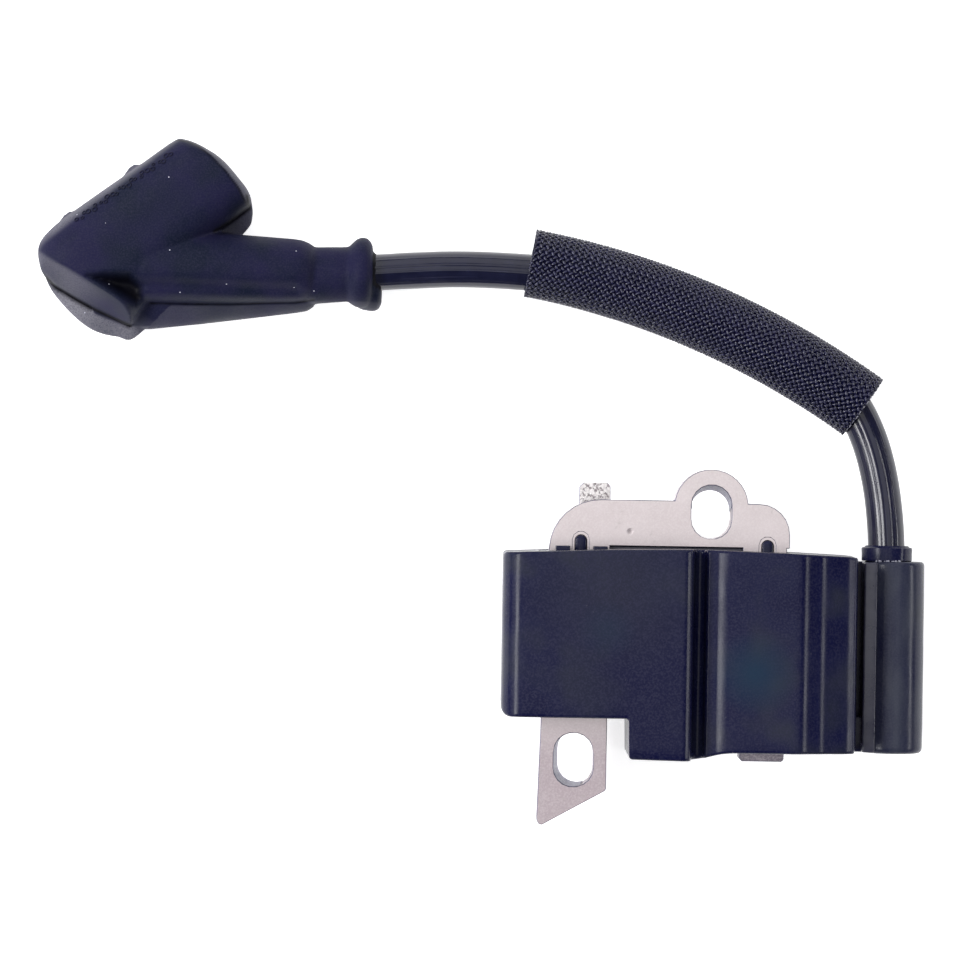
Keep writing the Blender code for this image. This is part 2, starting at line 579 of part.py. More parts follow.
def make_contacts():
    """Stop-switch blade, earth strip and the wires between board, reels and tower."""
    blade = [(-18.34 * MM, 9.95 * MM), (-10.6 * MM, 9.95 * MM), (-10.6 * MM, 11.2 * MM), (-14.04 * MM, 11.2 * MM),
             (-14.04 * MM, 21.5 * MM), (-14.5 * MM, 22.0 * MM), (-17.7 * MM, 22.0 * MM), (-18.34 * MM, 21.4 * MM)]
    add_object("stop_terminal", prism(blade, 6.3 * MM, 7.1 * MM), "tinned steel")
    strip = [(-3.4 * MM, 5.3 * MM), (-3.0 * MM, 5.3 * MM), (-3.0 * MM, 7.2 * MM), (5.5 * MM, 7.2 * MM),
             (5.5 * MM, 7.6 * MM), (-3.4 * MM, 7.6 * MM)]
    add_object("ground_contact", prism(strip, 7.6 * MM + 2.2 * MM, 11.1 * MM, axes="xzy"), "spring brass")

    wire = 0.35 * MM
    route = [(-5.0, -11.9, 3.3), (-3.5, -11.9, 3.3), (-1.0, -11.95, 3.3), (0.5, -11.8, 4.0), (1.6, -11.6, 5.4),
             (2.2, -11.5, 6.6)]
    lower = smooth_route(route, 14)
    add_object("primary_link_wire", skin(swept(lower, wire, 8)), "enamelled copper", 40)
    high = TOWER_Z - 0.5 * MM
    y = PIN_FOOT_Y + 1.1 * MM
    run = [(13.1 * MM, y, high - 1.0 * MM), (15.0 * MM, y, high - 0.6 * MM), (17.0 * MM, y, high),
           (19.0 * MM, y, high), (LEAD_AXIS_X - PIN_RADIUS - 0.25 * MM, y, high)]
    add_object("secondary_link_wire", skin(swept(run, wire, 8)), "enamelled copper", 40)
    spike = [(0, 0.6 * MM), (0.3 * MM, PIN_RADIUS), (4.2 * MM, PIN_RADIUS), (6.4 * MM, 0.15 * MM)]
    rings = turned(spike, (LEAD_AXIS_X, PIN_FOOT_Y + 0.2 * MM, TOWER_Z), (0, 1, 0), 16)
    add_object("output_pin", skin(rings), "spring brass", 30)


def make_lead():
    """The lead is a curve with a round bevel and closed ends."""
    points = smooth_route(LEAD_ROUTE, 34)
    curve = bpy.data.curves.new("high_tension_lead", "CURVE")
    curve.dimensions = "3D"
    curve.bevel_depth = LEAD_DIAMETER / 2
    curve.bevel_resolution = 4
    curve.use_fill_caps = True
    curve.resolution_u = 1
    curve.render_resolution_u = 0
    spline = curve.splines.new("POLY")
    spline.points.add(len(points) - 1)
    for place, point in zip(spline.points, points):
        place.co = (*point, 1.0)
    curve.materials.append(material("lead jacket"))
    lead = bpy.data.objects.new("high_tension_lead", curve)
    bpy.context.scene.collection.objects.link(lead)


def sleeve_axis(steps):
    """Points and outward directions along the sleeve's bow, left end first."""
    left = Vector(SLEEVE_LEFT)
    right = Vector(SLEEVE_RIGHT)
    chord = right - left
    outward = Vector((-chord.y, chord.x)).normalized()
    centre = (left + right) / 2 - outward * math.sqrt(SLEEVE_BEND ** 2 - chord.length_squared / 4)
    start = math.atan2(left.y - centre.y, left.x - centre.x)
    end = math.atan2(right.y - centre.y, right.x - centre.x)
    stations = []
    for step in range(steps + 1):
        angle = start + (end - start) * step / steps
        direction = Vector((math.cos(angle), math.sin(angle), 0))
        spot = Vector((centre.x, centre.y, SLEEVE_Z)) + direction * SLEEVE_BEND
        stations.append((spot, direction))
    return stations


def make_sleeve():
    """Thin braided tube, hinged at the middle of the arc along which it slides on the lead."""
    sides = 24
    outer = []
    inner = []
    for spot, outward in sleeve_axis(14):
        for rings, radius in ((outer, SLEEVE_OUTER), (inner, SLEEVE_INNER)):
            ring = []
            for side in range(sides):
                angle = 2 * math.pi * side / sides
                offset = outward * math.cos(angle) + Vector((0, 0, 1)) * math.sin(angle)
                ring.append(spot + offset * radius)
            rings.append(ring)
    pivot = bpy.data.objects.new("sleeve_pivot", None)
    pivot.location = (SLEEVE_PIVOT[0], SLEEVE_PIVOT[1], SLEEVE_Z)
    bpy.context.scene.collection.objects.link(pivot)
    wall = skin(outer + inner[::-1], hollow=True)
    bmesh.ops.translate(wall, verts=wall.verts, vec=-pivot.location)
    sleeve = add_object("braided_sleeve", wall, "braid yarn", 40)
    sleeve.parent = pivot


def boot_direction():
    return Vector((-math.cos(BOOT_ANGLE), -math.sin(BOOT_ANGLE), 0))


def oval_sections(sections, base, along, steps=28):
    """Rings of an oval body: (distance, half width, half height, sideways shift)."""
    across = Vector((-along.y, along.x, 0))
    rings = []
    for distance, half_width, half_height, shift in sections:
        ring = []
        for step in range(steps):
            angle = 2 * math.pi * step / steps
            spot = base + along * distance + across * (shift + half_width * math.cos(angle))
            spot.z += half_height * math.sin(angle)
            ring.append(spot)
        rings.append(ring)
    return rings


def make_boot():
    """Elbow boot: a plug barrel that widens to a domed back, and a tapered lead tube."""
    mouth = Vector((*BOOT_MOUTH, BOOT_Z))
    inward = boot_direction()
    barrel = [(0, 5.9, 5.9, 0), (0.5, 6.5, 6.4, 0), (6, 7.1, 6.4, -0.2), (14, 8.3, 6.4, -0.5),
              (21.5, 9.2, 6.4, -0.75), (24.0, 8.7, 6.1, -0.6), (25.8, 7.2, 5.1, -0.4), (27.0, 4.2, 3.1, -0.2),
              (27.3, 1.2, 1.0, 0)]
    scaled = [tuple(value * MM for value in row) for row in barrel]
    body = add_object("spark_plug_boot", skin(oval_sections(scaled, mouth, inward)), "boot rubber", 40)

    root = Vector((-82.5 * MM, 48.5 * MM, BOOT_Z))
    end = Vector((-45.6 * MM, 49.95 * MM, BOOT_Z))
    along = (end - root).normalized()
    tube = [(0, 7.0, 5.6, 0), (6, 6.9, 6.0, 0), (20, 5.6, 5.5, 0), (26.6, 4.8, 4.8, 0), (27.6, 4.0, 4.0, 0),
            (28.4, 3.6, 3.6, 0), (32.8, 3.6, 3.6, 0), (33.3, 4.4, 4.4, 0), (34.2, 4.95, 4.95, 0),
            (35.6, 4.95, 4.95, 0), (36.5, 4.4, 4.4, 0), (36.9, 3.6, 3.6, 0)]
    scaled = [tuple(value * MM for value in row) for row in tube]
    combine(body, tool("lead_tube", skin(oval_sections(scaled, root, along, 24))), "UNION")

    socket = [(-1 * MM, SOCKET_RADIUS), (SOCKET_DEPTH, SOCKET_RADIUS), (SOCKET_DEPTH, SPRING_SEAT_RADIUS),
              (SPRING_SEAT_DEPTH, SPRING_SEAT_RADIUS)]
    combine(body, tool("socket", skin(turned(socket, mouth, inward, 24))), "DIFFERENCE")
    route = [point for point in smooth_route(LEAD_ROUTE, 60) if point.x < -40 * MM]
    lead_bore = skin(swept(route, LEAD_DIAMETER / 2 + 0.3 * MM, 20))
    combine(body, tool("boot_lead_bore", lead_bore), "DIFFERENCE")
    passage = skin(turned([(0, 1.2 * MM), (12 * MM, 1.2 * MM)], (-83.0 * MM, 48.6 * MM, BOOT_Z), (1, 0, 0), 12))
    combine(body, tool("spring_passage", passage), "DIFFERENCE")


def make_contact_spring():
    """Coil that grips the plug's terminal, with a tail that reaches the lead's end."""
    mouth = Vector((*BOOT_MOUTH, BOOT_Z))
    inward = boot_direction()
    across = Vector((-inward.y, inward.x, 0))
    up = Vector((0, 0, 1))
    first, last = 8.5 * MM, 19.4 * MM
    per_turn = 12
    path = []
    for step in range(SPRING_TURNS * per_turn + 1):
        share = step / (SPRING_TURNS * per_turn)
        angle = 2 * math.pi * SPRING_TURNS * share
        centre = mouth + inward * (first + (last - first) * share)
        path.append(centre + (across * math.cos(angle) + up * math.sin(angle)) * SPRING_RADIUS)
    path.append(mouth + inward * 20.3 * MM + across * 1.2 * MM + up * 0.5 * MM)
    path.append(Vector((-81.0 * MM, 48.6 * MM, BOOT_Z)))
    path.append(Vector((-78.5 * MM, 48.6 * MM, BOOT_Z)))
    path.append(Vector((-72.6 * MM, 48.65 * MM, BOOT_Z)))
    add_object("boot_contact_spring", skin(swept(path, SPRING_WIRE, 6)), "tinned steel", 60)


clear_scene()
make_core()
make_case()
make_potting()
make_collar()
make_charge_coil()
make_transformer()
make_electronics()
make_contacts()
make_lead()
make_sleeve()
make_boot()
make_contact_spring()
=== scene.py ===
"""Looks of the ignition coil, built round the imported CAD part. Lengths are in metres."""
import json
import math

import bmesh
import bpy
import numpy as np
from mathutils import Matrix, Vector, noise
from mathutils.bvhtree import BVHTree


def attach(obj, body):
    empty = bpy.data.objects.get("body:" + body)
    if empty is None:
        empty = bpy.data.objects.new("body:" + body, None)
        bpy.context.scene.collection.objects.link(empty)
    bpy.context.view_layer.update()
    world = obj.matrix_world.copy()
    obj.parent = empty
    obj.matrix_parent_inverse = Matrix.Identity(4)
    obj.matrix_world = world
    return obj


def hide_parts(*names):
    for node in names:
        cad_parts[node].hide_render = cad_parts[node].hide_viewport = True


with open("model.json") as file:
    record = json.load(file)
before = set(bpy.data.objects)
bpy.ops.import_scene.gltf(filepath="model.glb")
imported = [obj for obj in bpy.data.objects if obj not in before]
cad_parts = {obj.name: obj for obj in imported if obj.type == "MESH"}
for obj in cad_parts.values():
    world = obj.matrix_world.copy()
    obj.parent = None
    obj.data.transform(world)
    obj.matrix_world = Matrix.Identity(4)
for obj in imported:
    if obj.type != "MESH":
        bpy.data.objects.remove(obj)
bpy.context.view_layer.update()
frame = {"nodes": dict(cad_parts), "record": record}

MM = 0.001

# camera: straight above the part, with the long lens of a product photograph
CAMERA_SPOT = (-31.40 * MM, 21.73 * MM, 700.0 * MM)
CAMERA_TURN = math.radians(0.95)
CAMERA_LENS = 191.2
SENSOR_WIDTH = 36.0
PART_MIDDLE = Vector((-30.0, 22.0, 8.0)) * MM

# high-tension lead: points on its centre line, from inside the tower to inside the boot
LEAD_ROUTE = [
    (0.02335, -0.00400, 0.00780), (0.02335, 0.00500, 0.00780), (0.02325, 0.01490, 0.00755),
    (0.02240, 0.02250, 0.00700), (0.01859, 0.03282, 0.00655), (0.00949, 0.04061, 0.00645),
    (-0.00189, 0.04425, 0.00642), (-0.01284, 0.04863, 0.00640), (-0.02454, 0.05019, 0.00640),
    (-0.03430, 0.05053, 0.00640), (-0.04590, 0.04992, 0.00640), (-0.06000, 0.04910, 0.00640),
    (-0.07200, 0.04870, 0.00640),
]
LEAD_DIAMETER = 5.0 * MM
# extrusion ridges: (degrees round the lead, height in mm)
LEAD_RIDGES = [(55, 0.03), (79, 0.115), (98, 0.095), (140, 0.03), (250, 0.03), (318, 0.03)]
RIDGE_WIDTH = 3.8

# braided sleeve
SLEEVE_LEFT = Vector((-25.3, 51.5, 6.3)) * MM
SLEEVE_RIGHT = Vector((19.8, 32.85, 6.3)) * MM
SLEEVE_BEND = 114.0 * MM
SLEEVE_RADIUS = 4.36 * MM
YARNS = 32
STRAND_RISE = 0.16 * MM
STRAND_HALF_WIDTH = 0.27 * MM
STRAND_HALF_HEIGHT = 0.13 * MM

# plug boot: mouth of the barrel, and its two directions in plan
BOOT_MOUTH = Vector((-68.3, 63.1, 6.5)) * MM
INWARD = Vector((-1, -1, 0)).normalized()
UPPER_LEFT = Vector((-1, 1, 0)).normalized()

# moulded case
CASE_LEFT = -28.5 * MM
CASE_RIGHT = 19.2 * MM
PARTING_HEIGHT = 7.4 * MM
EDGE_RADIUS = 0.45 * MM
TOWER_X = 24.3 * MM
TOWER_Z = 7.8 * MM
LEAD_AXIS_X = 23.35 * MM
SLITS = (("left", -18.10, 14.95), ("right", 6.90, 14.60))
BAR_HALF_WIDTH = 0.78

# places of tints, marks, painted light and painted shade in the finishes
CHAMBER_TINT = (5.2 * MM, -3.0 * MM, 20.0 * MM)
BLOCK_TINT = (-14.5 * MM, 2.5 * MM, 22.0 * MM)
# painted light over the case block's upper left
BLOCK_PAINTED_LIGHT = (-13.5 * MM, 9.0 * MM, 22.0 * MM)
BLOCK_SHADE = (-9.0 * MM, -7.0 * MM, 22.0 * MM)
# painted shade on the middle pole's tip, beside the case
MIDDLE_POLE_SHADE = (6.5 * MM, -15.5 * MM, 12.0 * MM)
PUNCH_MARK = (-11.56 * MM, 15.50 * MM, 14.0 * MM)


# ---------- mesh helpers

def add_piece(name, bm, finish, body="coil", smooth=40):
    """Turn a bmesh into a smooth-shaded piece that rides on a CAD body."""
    return add_mesh(name, mesh_of(name, bm), finish, body, smooth)


def mesh_of(name, bm):
    """Mesh of a bmesh, which is used up, with its faces pointing out."""
    bmesh.ops.recalc_face_normals(bm, faces=bm.faces)
    mesh = bpy.data.meshes.new(name)
    bm.to_mesh(mesh)
    bm.free()
    return mesh


def add_object(name, data):
    made = bpy.data.objects.new(name, data)
    bpy.context.scene.collection.objects.link(made)
    return made


def add_mesh(name, mesh, finish, body="coil", smooth=40):
    """A piece with a finish, in the material slot that the finish belongs to."""
    mesh.materials.clear()
    mesh.materials.append(FINISHES[finish])
    shade(mesh, smooth)
    piece = add_object(name, mesh)
    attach(piece, body)
    return piece


def shade(mesh, smooth):
    """Smooth shading, broken at edges sharper than an angle in degrees."""
    mesh.shade_smooth()
    if smooth < 180:
        mesh.set_sharp_from_angle(angle=math.radians(smooth))


def paint(piece, name, values):
    """One number for each vertex, which the piece's finish reads by name."""
    layer = piece.data.attributes.new(name, "FLOAT", "POINT")
    layer.data.foreach_set("value", values)


def skin(rings, hollow=False, bm=None):
    """Faces between equal rings; a hollow skin joins its last ring to its first."""
    bm = bm or bmesh.new()
    made = [[bm.verts.new(point) for point in ring] for ring in rings]
    pairs = list(zip(made, made[1:]))
    if hollow:
        pairs.append((made[-1], made[0]))
    for first, second in pairs:
        for index in range(len(first)):
            after = (index + 1) % len(first)
            bm.faces.new((first[index], first[after], second[after], second[index]))
    if not hollow:
        bm.faces.new(made[0][::-1])
        bm.faces.new(made[-1])
    return bm


def turned(profile, base, axis, steps=48):
    """Rings of (distance along the axis, radius) about an axis."""
    axis = Vector(axis).normalized()
    side = axis.orthogonal().normalized()
    other = axis.cross(side)
    rings = []
    for along, radius in profile:
        ring = []
        for angle in full_turn(steps):
            offset = side * math.cos(angle) + other * math.sin(angle)
            ring.append(Vector(base) + axis * along + offset * radius)
        rings.append(ring)
    return rings


def full_turn(steps):
    """Angles of equal steps round a circle."""
    return [2 * math.pi * step / steps for step in range(steps)]


def arc(centre, radius, start, end, steps):
    """Points on a circle from start to end, in degrees."""
    angles = [math.radians(start + (end - start) * step / steps) for step in range(steps + 1)]
    return [(centre[0] + radius * math.cos(a), centre[1] + radius * math.sin(a)) for a in angles]


def rounded_line(points, radius, steps=5):
    """A polyline whose corners are short curves that reach radius along each side."""
    smooth = [tuple(points[0])]
    for before, corner, after in zip(points, points[1:], points[2:]):
        before, corner, after = Vector(before), Vector(corner), Vector(after)
        back, ahead = before - corner, after - corner
        start = corner + back.normalized() * min(radius, 0.45 * back.length)
        end = corner + ahead.normalized() * min(radius, 0.45 * ahead.length)
        for step in range(steps + 1):
            share = step / steps
            first = start.lerp(corner, share)
            smooth.append(tuple(first.lerp(corner.lerp(end, share), share)))
    smooth.append(tuple(points[-1]))
    return smooth


def smooth_route(route, count):
    """Natural cubic spline through the route's points, sampled at equal parameters."""
    known = np.array(route)
    gaps = np.linalg.norm(np.diff(known, axis=0), axis=1)
    knots = np.concatenate([[0.0], np.cumsum(gaps)])
    size = len(known)
    system = np.eye(size)
    right = np.zeros_like(known)
    for row in range(1, size - 1):
        system[row, row - 1] = gaps[row - 1]
        system[row, row] = 2 * (gaps[row - 1] + gaps[row])
        system[row, row + 1] = gaps[row]
        ahead = (known[row + 1] - known[row]) / gaps[row]
        behind = (known[row] - known[row - 1]) / gaps[row - 1]
        right[row] = 6 * (ahead - behind)
    bends = np.linalg.solve(system, right)
    points = []
    for value in np.linspace(0.0, knots[-1], count):
        span = min(np.searchsorted(knots, value, side="right") - 1, size - 2)
        gap = gaps[span]
        after = (value - knots[span]) / gap
        before = 1 - after
        curve = (before ** 3 - before) * bends[span] + (after ** 3 - after) * bends[span + 1]
        points.append(before * known[span] + after * known[span + 1] + curve * gap * gap / 6)
    return points


def ripple(point, size, seed=0.0):
    """Smooth noise from -1 to 1 whose bumps are about size across."""
    return noise.noise(Vector(point) / size + Vector((seed, seed * 0.7, -seed)))


def ease(value, low, high):
    """0 below low, 1 above high and a smooth step between them."""
    share = min(max((value - low) / (high - low), 0.0), 1.0)
    return share * share * (3 - 2 * share)


def baked(piece):
    """The piece's mesh with its modifiers applied."""
    graph = bpy.context.evaluated_depsgraph_get()
    graph.update()
    return bpy.data.meshes.new_from_object(piece.evaluated_get(graph))


# ---------- finishes

class Finish:
    """A procedural material: a shader whose colour, roughness and bump come from noise."""

    def __init__(self, name, coords="Object"):
        self.material = bpy.data.materials.new(name)
        self.material.use_nodes = True
        self.tree = self.material.node_tree
        self.shader = self.tree.nodes["Principled BSDF"]
        self.coords = self.add("ShaderNodeTexCoord", {}).outputs[coords]

    def add(self, kind, inputs, **settings):
        """New node; an input that is given a socket is linked, any other is set."""
        node = self.tree.nodes.new(kind)
        for key, value in settings.items():
            setattr(node, key, value)
        for name, value in inputs.items():
            self.feed(node.inputs[name], value)
        return node

    def feed(self, target, value):
        if isinstance(value, bpy.types.NodeSocket):
            self.tree.links.new(value, target)
        else:
            target.default_value = value

    def set(self, **values):
        for name, value in values.items():
            self.shader.inputs[name.replace("_", " ")].default_value = value

    def placed(self, stretch):
        return self.add("ShaderNodeMapping", {"Scale": stretch, "Vector": self.coords}).outputs["Vector"]

    def noise(self, size, detail=3.0, stretch=(1, 1, 1), distortion=0.0):
        inputs = {"Scale": 1 / size, "Detail": detail, "Distortion": distortion}
        inputs["Vector"] = self.placed(stretch)
        return self.add("ShaderNodeTexNoise", inputs).outputs["Fac"]

    def cells(self, size, stretch=(1, 1, 1), output="Distance"):
        inputs = {"Scale": 1 / size, "Vector": self.placed(stretch)}
        return self.add("ShaderNodeTexVoronoi", inputs).outputs[output]

    def bands(self, size, direction, distortion=0.0):
        inputs = {"Scale": 1 / size, "Distortion": distortion, "Vector": self.coords}
        return self.add("ShaderNodeTexWave", inputs, bands_direction=direction).outputs["Fac"]

    def stored(self, name):
        """A number that paint stored on the piece's vertices."""
        return self.add("ShaderNodeAttribute", {}, attribute_name=name).outputs["Fac"]

    def spread(self, source, from_low, from_high, low, high):
        """Map a source's range onto another, clamped."""
        inputs = {"Value": source, "From Min": from_low, "From Max": from_high, "To Min": low, "To Max": high}
        return self.add("ShaderNodeMapRange", inputs).outputs["Result"]

    def span(self, source, low, high):
        """Low to high over the middle of a noise's range."""
        return self.spread(source, 0.3, 0.7, low, high)

    def ramp(self, source, stops):
        """Start the base colour: (place, colour) stops over a source."""
        node = self.add("ShaderNodeValToRGB", {"Fac": source})
        ends = node.color_ramp.elements
        while len(ends) < len(stops):
            ends.new(0.5)
        for element, (place, colour) in zip(ends, stops):
            element.position = place
            element.color = (*colour, 1.0)
        self.base = node.outputs["Color"]

    def tint(self, share, colour):
        """Turn the base colour to another where share is 1."""
        inputs = {"Factor": share, "A": self.base, "B": (*colour, 1.0)}
        self.base = self.add("ShaderNodeMix", inputs, data_type="RGBA").outputs["Result"]

    def along(self, axis, start, end):
        """0 before start on one axis, 1 past the end, in metres."""
        node = self.add("ShaderNodeSeparateXYZ", {"Vector": self.coords})
        return self.spread(node.outputs[axis], start, end, 0.0, 1.0)

    def near(self, spot, radius, soft, strength=1.0):
        """Strength inside a ball about a spot in the row frame, 0 outside it."""
        node = self.add("ShaderNodeVectorMath", {0: self.coords, 1: spot}, operation="DISTANCE")
        return self.spread(node.outputs["Value"], radius, radius + soft, strength, 0.0)

    def done(self, rough, *layers):
        """Finish the shader: base colour, roughness and (height source, height in metres) bumps."""
        inputs = {"Strength": 1.0}
        for source, height in layers:
            inputs.update({"Distance": height, "Height": source})
            inputs["Normal"] = self.add("ShaderNodeBump", inputs).outputs["Normal"]
        if layers:
            self.feed(self.shader.inputs["Normal"], inputs["Normal"])
        self.feed(self.shader.inputs["Base Color"], self.base)
        self.feed(self.shader.inputs["Roughness"], rough)
        return self.material


def core_steel():
    """Rolled silicon steel: satin, faintly pink, darker towards the leg ends, with grain, faint stains,
    handling marks and painted shade on the middle pole's tip.
    """
    f = Finish("core_steel")
    f.set(Metallic=1.0)
    cloud = f.noise(6 * MM, 4, (1, 1.6, 1))
    f.ramp(cloud, [(0.3, (0.620, 0.550, 0.560)), (0.7, (0.690, 0.620, 0.630))])
    f.tint(f.along("Y", -9.0 * MM, -15.0 * MM), (0.480, 0.405, 0.435))
    # painted shade: the middle pole's tip darkened by the case beside it
    f.tint(f.near(MIDDLE_POLE_SHADE, 4.0 * MM, 1.5 * MM), (0.205, 0.180, 0.215))
    grain = f.noise(0.22 * MM, 4)
    f.tint(f.spread(grain, 0.42, 0.66, 0.0, 0.22), (0.86, 0.81, 0.81))
    stain = f.noise(1.6 * MM, 5, distortion=1.0)
    f.tint(f.spread(stain, 0.64, 0.74, 0.0, 0.3), (0.42, 0.38, 0.37))
    f.tint(f.near(PUNCH_MARK, 0.12 * MM, 0.35 * MM, 0.75), (0.30, 0.26, 0.27))
    rough = f.span(cloud, 0.36, 0.48)
    scratch = f.cells(2.4 * MM, (0.25, 3.0, 1.0))
    return f.done(rough, (grain, 0.012 * MM), (f.noise(2.2 * MM, 3), 0.03 * MM),
                  (f.spread(scratch, 0.0, 0.02, 0.0, 1.0), 0.004 * MM),
                  (f.near(PUNCH_MARK, 0.12 * MM, 0.35 * MM), -0.05 * MM))


def core_edge():
    """Sheared edges of the sheets: darker, with the stack's layers showing."""
    f = Finish("core_edge")
    f.set(Metallic=1.0)
    layers = f.bands(1.7 * MM, "Z", 0.6)
    f.ramp(layers, [(0.2, (0.10, 0.10, 0.15)), (0.8, (0.42, 0.41, 0.50))])
    rough = f.span(f.noise(0.4 * MM), 0.34, 0.55)
    return f.done(rough, (layers, 0.02 * MM), (f.noise(0.15 * MM), 0.01 * MM))


def case_plastic(name, wear=0.0):
    """Glossy black moulding with a blue cast, faint sink marks, specks and rub marks, painted shade over the
    block's lower right and painted light over its upper left.
    """
    f = Finish(name)
    f.set(IOR=1.46, Specular_IOR_Level=0.20)
    cloud = f.noise(9 * MM, 2)
    f.ramp(cloud, [(0.36, (0.0010, 0.0016, 0.026)), (0.50, (0.0040, 0.0052, 0.032)),
                   (0.66, (0.0150, 0.0175, 0.032))])
    # painted shade darkens the block's lower right, painted light lightens its upper left
    f.tint(f.near(BLOCK_SHADE, 2.0 * MM, 16.0 * MM, 0.85), (0.0008, 0.0012, 0.026))
    f.tint(f.near(BLOCK_PAINTED_LIGHT, 2.0 * MM, 11.0 * MM, 0.55), (0.0190, 0.0210, 0.034))
    grain = f.noise(0.26 * MM, 2)
    f.tint(f.spread(grain, 0.42, 0.66, 0.0, 0.55), (0.022, 0.022, 0.052))
    scuff = f.noise(3.0 * MM, 5, (1, 0.25, 1))
    f.tint(f.spread(scuff, 0.35, 0.65, 0.25 * wear, wear), (0.060, 0.066, 0.082))
    speck = f.cells(2.6 * MM)
    f.tint(f.spread(speck, 0.02, 0.04, 0.6, 0.0), (0.06, 0.06, 0.08))
    for spot, reach, strength in ((CHAMBER_TINT, 5.2 * MM, 0.85), (BLOCK_TINT, 3.6 * MM, 0.25)):
        f.tint(f.near(spot, 0.6 * MM, reach, strength), (0.0030, 0.0200, 0.048))
    rub = f.noise(2.4 * MM, 6, (1, 0.35, 1))
    rough = f.spread(rub, 0.3, 0.75, 0.19, 0.32)
    return f.done(rough, (f.noise(11 * MM, 2), 0.22 * MM), (grain, 0.006 * MM), (speck, 0.004 * MM))


def boot_rubber():
    """Matte moulded rubber: fine grain, cloudy tone, white dust, painted light where faces turn to the lamps
    and the white floor, and painted shade in parting lines and recesses.
    """
    f = Finish("boot_rubber")
    f.set(IOR=1.48, Specular_IOR_Level=0.13)
    cloud = f.noise(7 * MM, 5)
    f.ramp(cloud, [(0.38, (0.0030, 0.0060, 0.020)), (0.62, (0.0085, 0.0080, 0.036))])
    # painted light: paler where the rubber faces the lamps and the white floor
    f.tint(f.stored("painted_light"), (0.215, 0.210, 0.245))
    grain = f.noise(0.22 * MM, 3)
    f.tint(f.spread(grain, 0.42, 0.70, 0.0, 0.50), (0.021, 0.021, 0.046))
    # painted shade in parting lines, pocket and the gap round the lead; the same attribute also darkens the
    # moulded dots
    f.tint(f.stored("crease"), (0.0010, 0.0010, 0.0040))
    dust = f.cells(2.3 * MM)
    f.tint(f.spread(dust, 0.030, 0.045, 0.9, 0.0), (0.50, 0.50, 0.60))
    rough = f.span(cloud, 0.50, 0.68)
    return f.done(rough, (grain, 0.022 * MM), (f.noise(1.3 * MM, 3), 0.03 * MM), (dust, 0.01 * MM))


def braid_yarn():
    """Waxed polyester yarn: dark, each strand with its own tone, a soft sheen and a painted highlight on its
    crowns.
    """
    f = Finish("braid_yarn")
    f.set(IOR=1.5, Specular_IOR_Level=0.55)
    tone = f.noise(0.9 * MM, 2)
    f.ramp(tone, [(0.38, (0.0006, 0.0010, 0.0160)), (0.62, (0.0070, 0.0070, 0.0340))])
    # painted highlight on the crowns of the strands
    f.tint(f.stored("crown_highlight"), (0.026, 0.026, 0.070))
    fibre = f.noise(0.07 * MM, 2)
    f.tint(f.spread(fibre, 0.5, 0.72, 0.0, 0.35), (0.016, 0.016, 0.045))
    rough = f.span(tone, 0.13, 0.24)
    return f.done(rough, (fibre, 0.02 * MM))


def lead_jacket():
    """Extruded jacket: fine lines along the lead, semi-gloss, with a few scuffs."""
    f = Finish("lead_jacket", coords="UV")
    f.set(IOR=1.49, Specular_IOR_Level=0.48)
    lines = f.noise(0.02, 2, (1, 0.02, 1))
    cloud = f.noise(0.12, 4)
    f.ramp(cloud, [(0.3, (0.002, 0.0025, 0.017)), (0.7, (0.006, 0.007, 0.027))])
    f.tint(f.spread(lines, 0.6, 0.75, 0.0, 0.4), (0.03, 0.03, 0.055))
    rough = f.span(f.noise(0.05, 4, (1, 0.2, 1)), 0.13, 0.22)
    return f.done(rough, (lines, 0.03 * MM), (f.noise(0.01, 3), 0.006 * MM))


def tinned_steel():
    """Dull tin plate with a fine crystalline sparkle."""
    f = Finish("tinned_steel")
    f.set(Metallic=1.0)
    grain = f.cells(0.28 * MM, output="Color")
    fine = f.noise(0.10 * MM, 3)
    f.ramp(grain, [(0.1, (0.60, 0.57, 0.57)), (0.6, (0.84, 0.81, 0.81))])
    f.tint(f.spread(f.noise(0.35 * MM, 5), 0.52, 0.60, 0.0, 0.85), (0.20, 0.17, 0.18))
    rough = f.span(fine, 0.22, 0.5)
    return f.done(rough, (grain, 0.03 * MM), (fine, 0.02 * MM))


def enamelled_copper():
    """Enamelled wire wound round Y: one band for each turn."""
    f = Finish("enamelled_copper")
    f.set(Metallic=1.0, Coat_Weight=0.5, Coat_Roughness=0.12)
    turns = f.bands(1.1 * MM, "Y", 0.4)
    f.ramp(turns, [(0.0, (0.16, 0.045, 0.015)), (0.5, (0.62, 0.24, 0.10))])
    rough = f.span(f.noise(1 * MM), 0.22, 0.38)
    return f.done(rough, (turns, 0.06 * MM))


def plain_finish(name, dark, light, rough, grain=0.25 * MM, metallic=0.0):
    """A small inner part's finish: cloudy colour, uneven gloss and a fine grain."""
    f = Finish(name)
    f.set(Metallic=metallic)
    cloud = f.noise(2.0 * MM, 4)
    f.ramp(cloud, [(0.3, dark), (0.7, light)])
    rough = f.span(cloud, rough - 0.06, rough + 0.08)
    return f.done(rough, (f.noise(grain, 3), 0.01 * MM))


def board_laminate():
    """Green solder mask over copper tracks."""
    f = Finish("board_laminate")
    inputs = {"Scale": 420.0, "Mortar Size": 0.03, "Vector": f.coords}
    tracks = f.add("ShaderNodeTexBrick", inputs).outputs["Fac"]
    f.ramp(f.noise(1 * MM), [(0.3, (0.02, 0.12, 0.05)), (0.7, (0.03, 0.17, 0.07))])
    f.tint(tracks, (0.10, 0.30, 0.12))
    rough = f.span(f.noise(0.5 * MM), 0.30, 0.45)
    return f.done(rough, (tracks, 0.03 * MM))


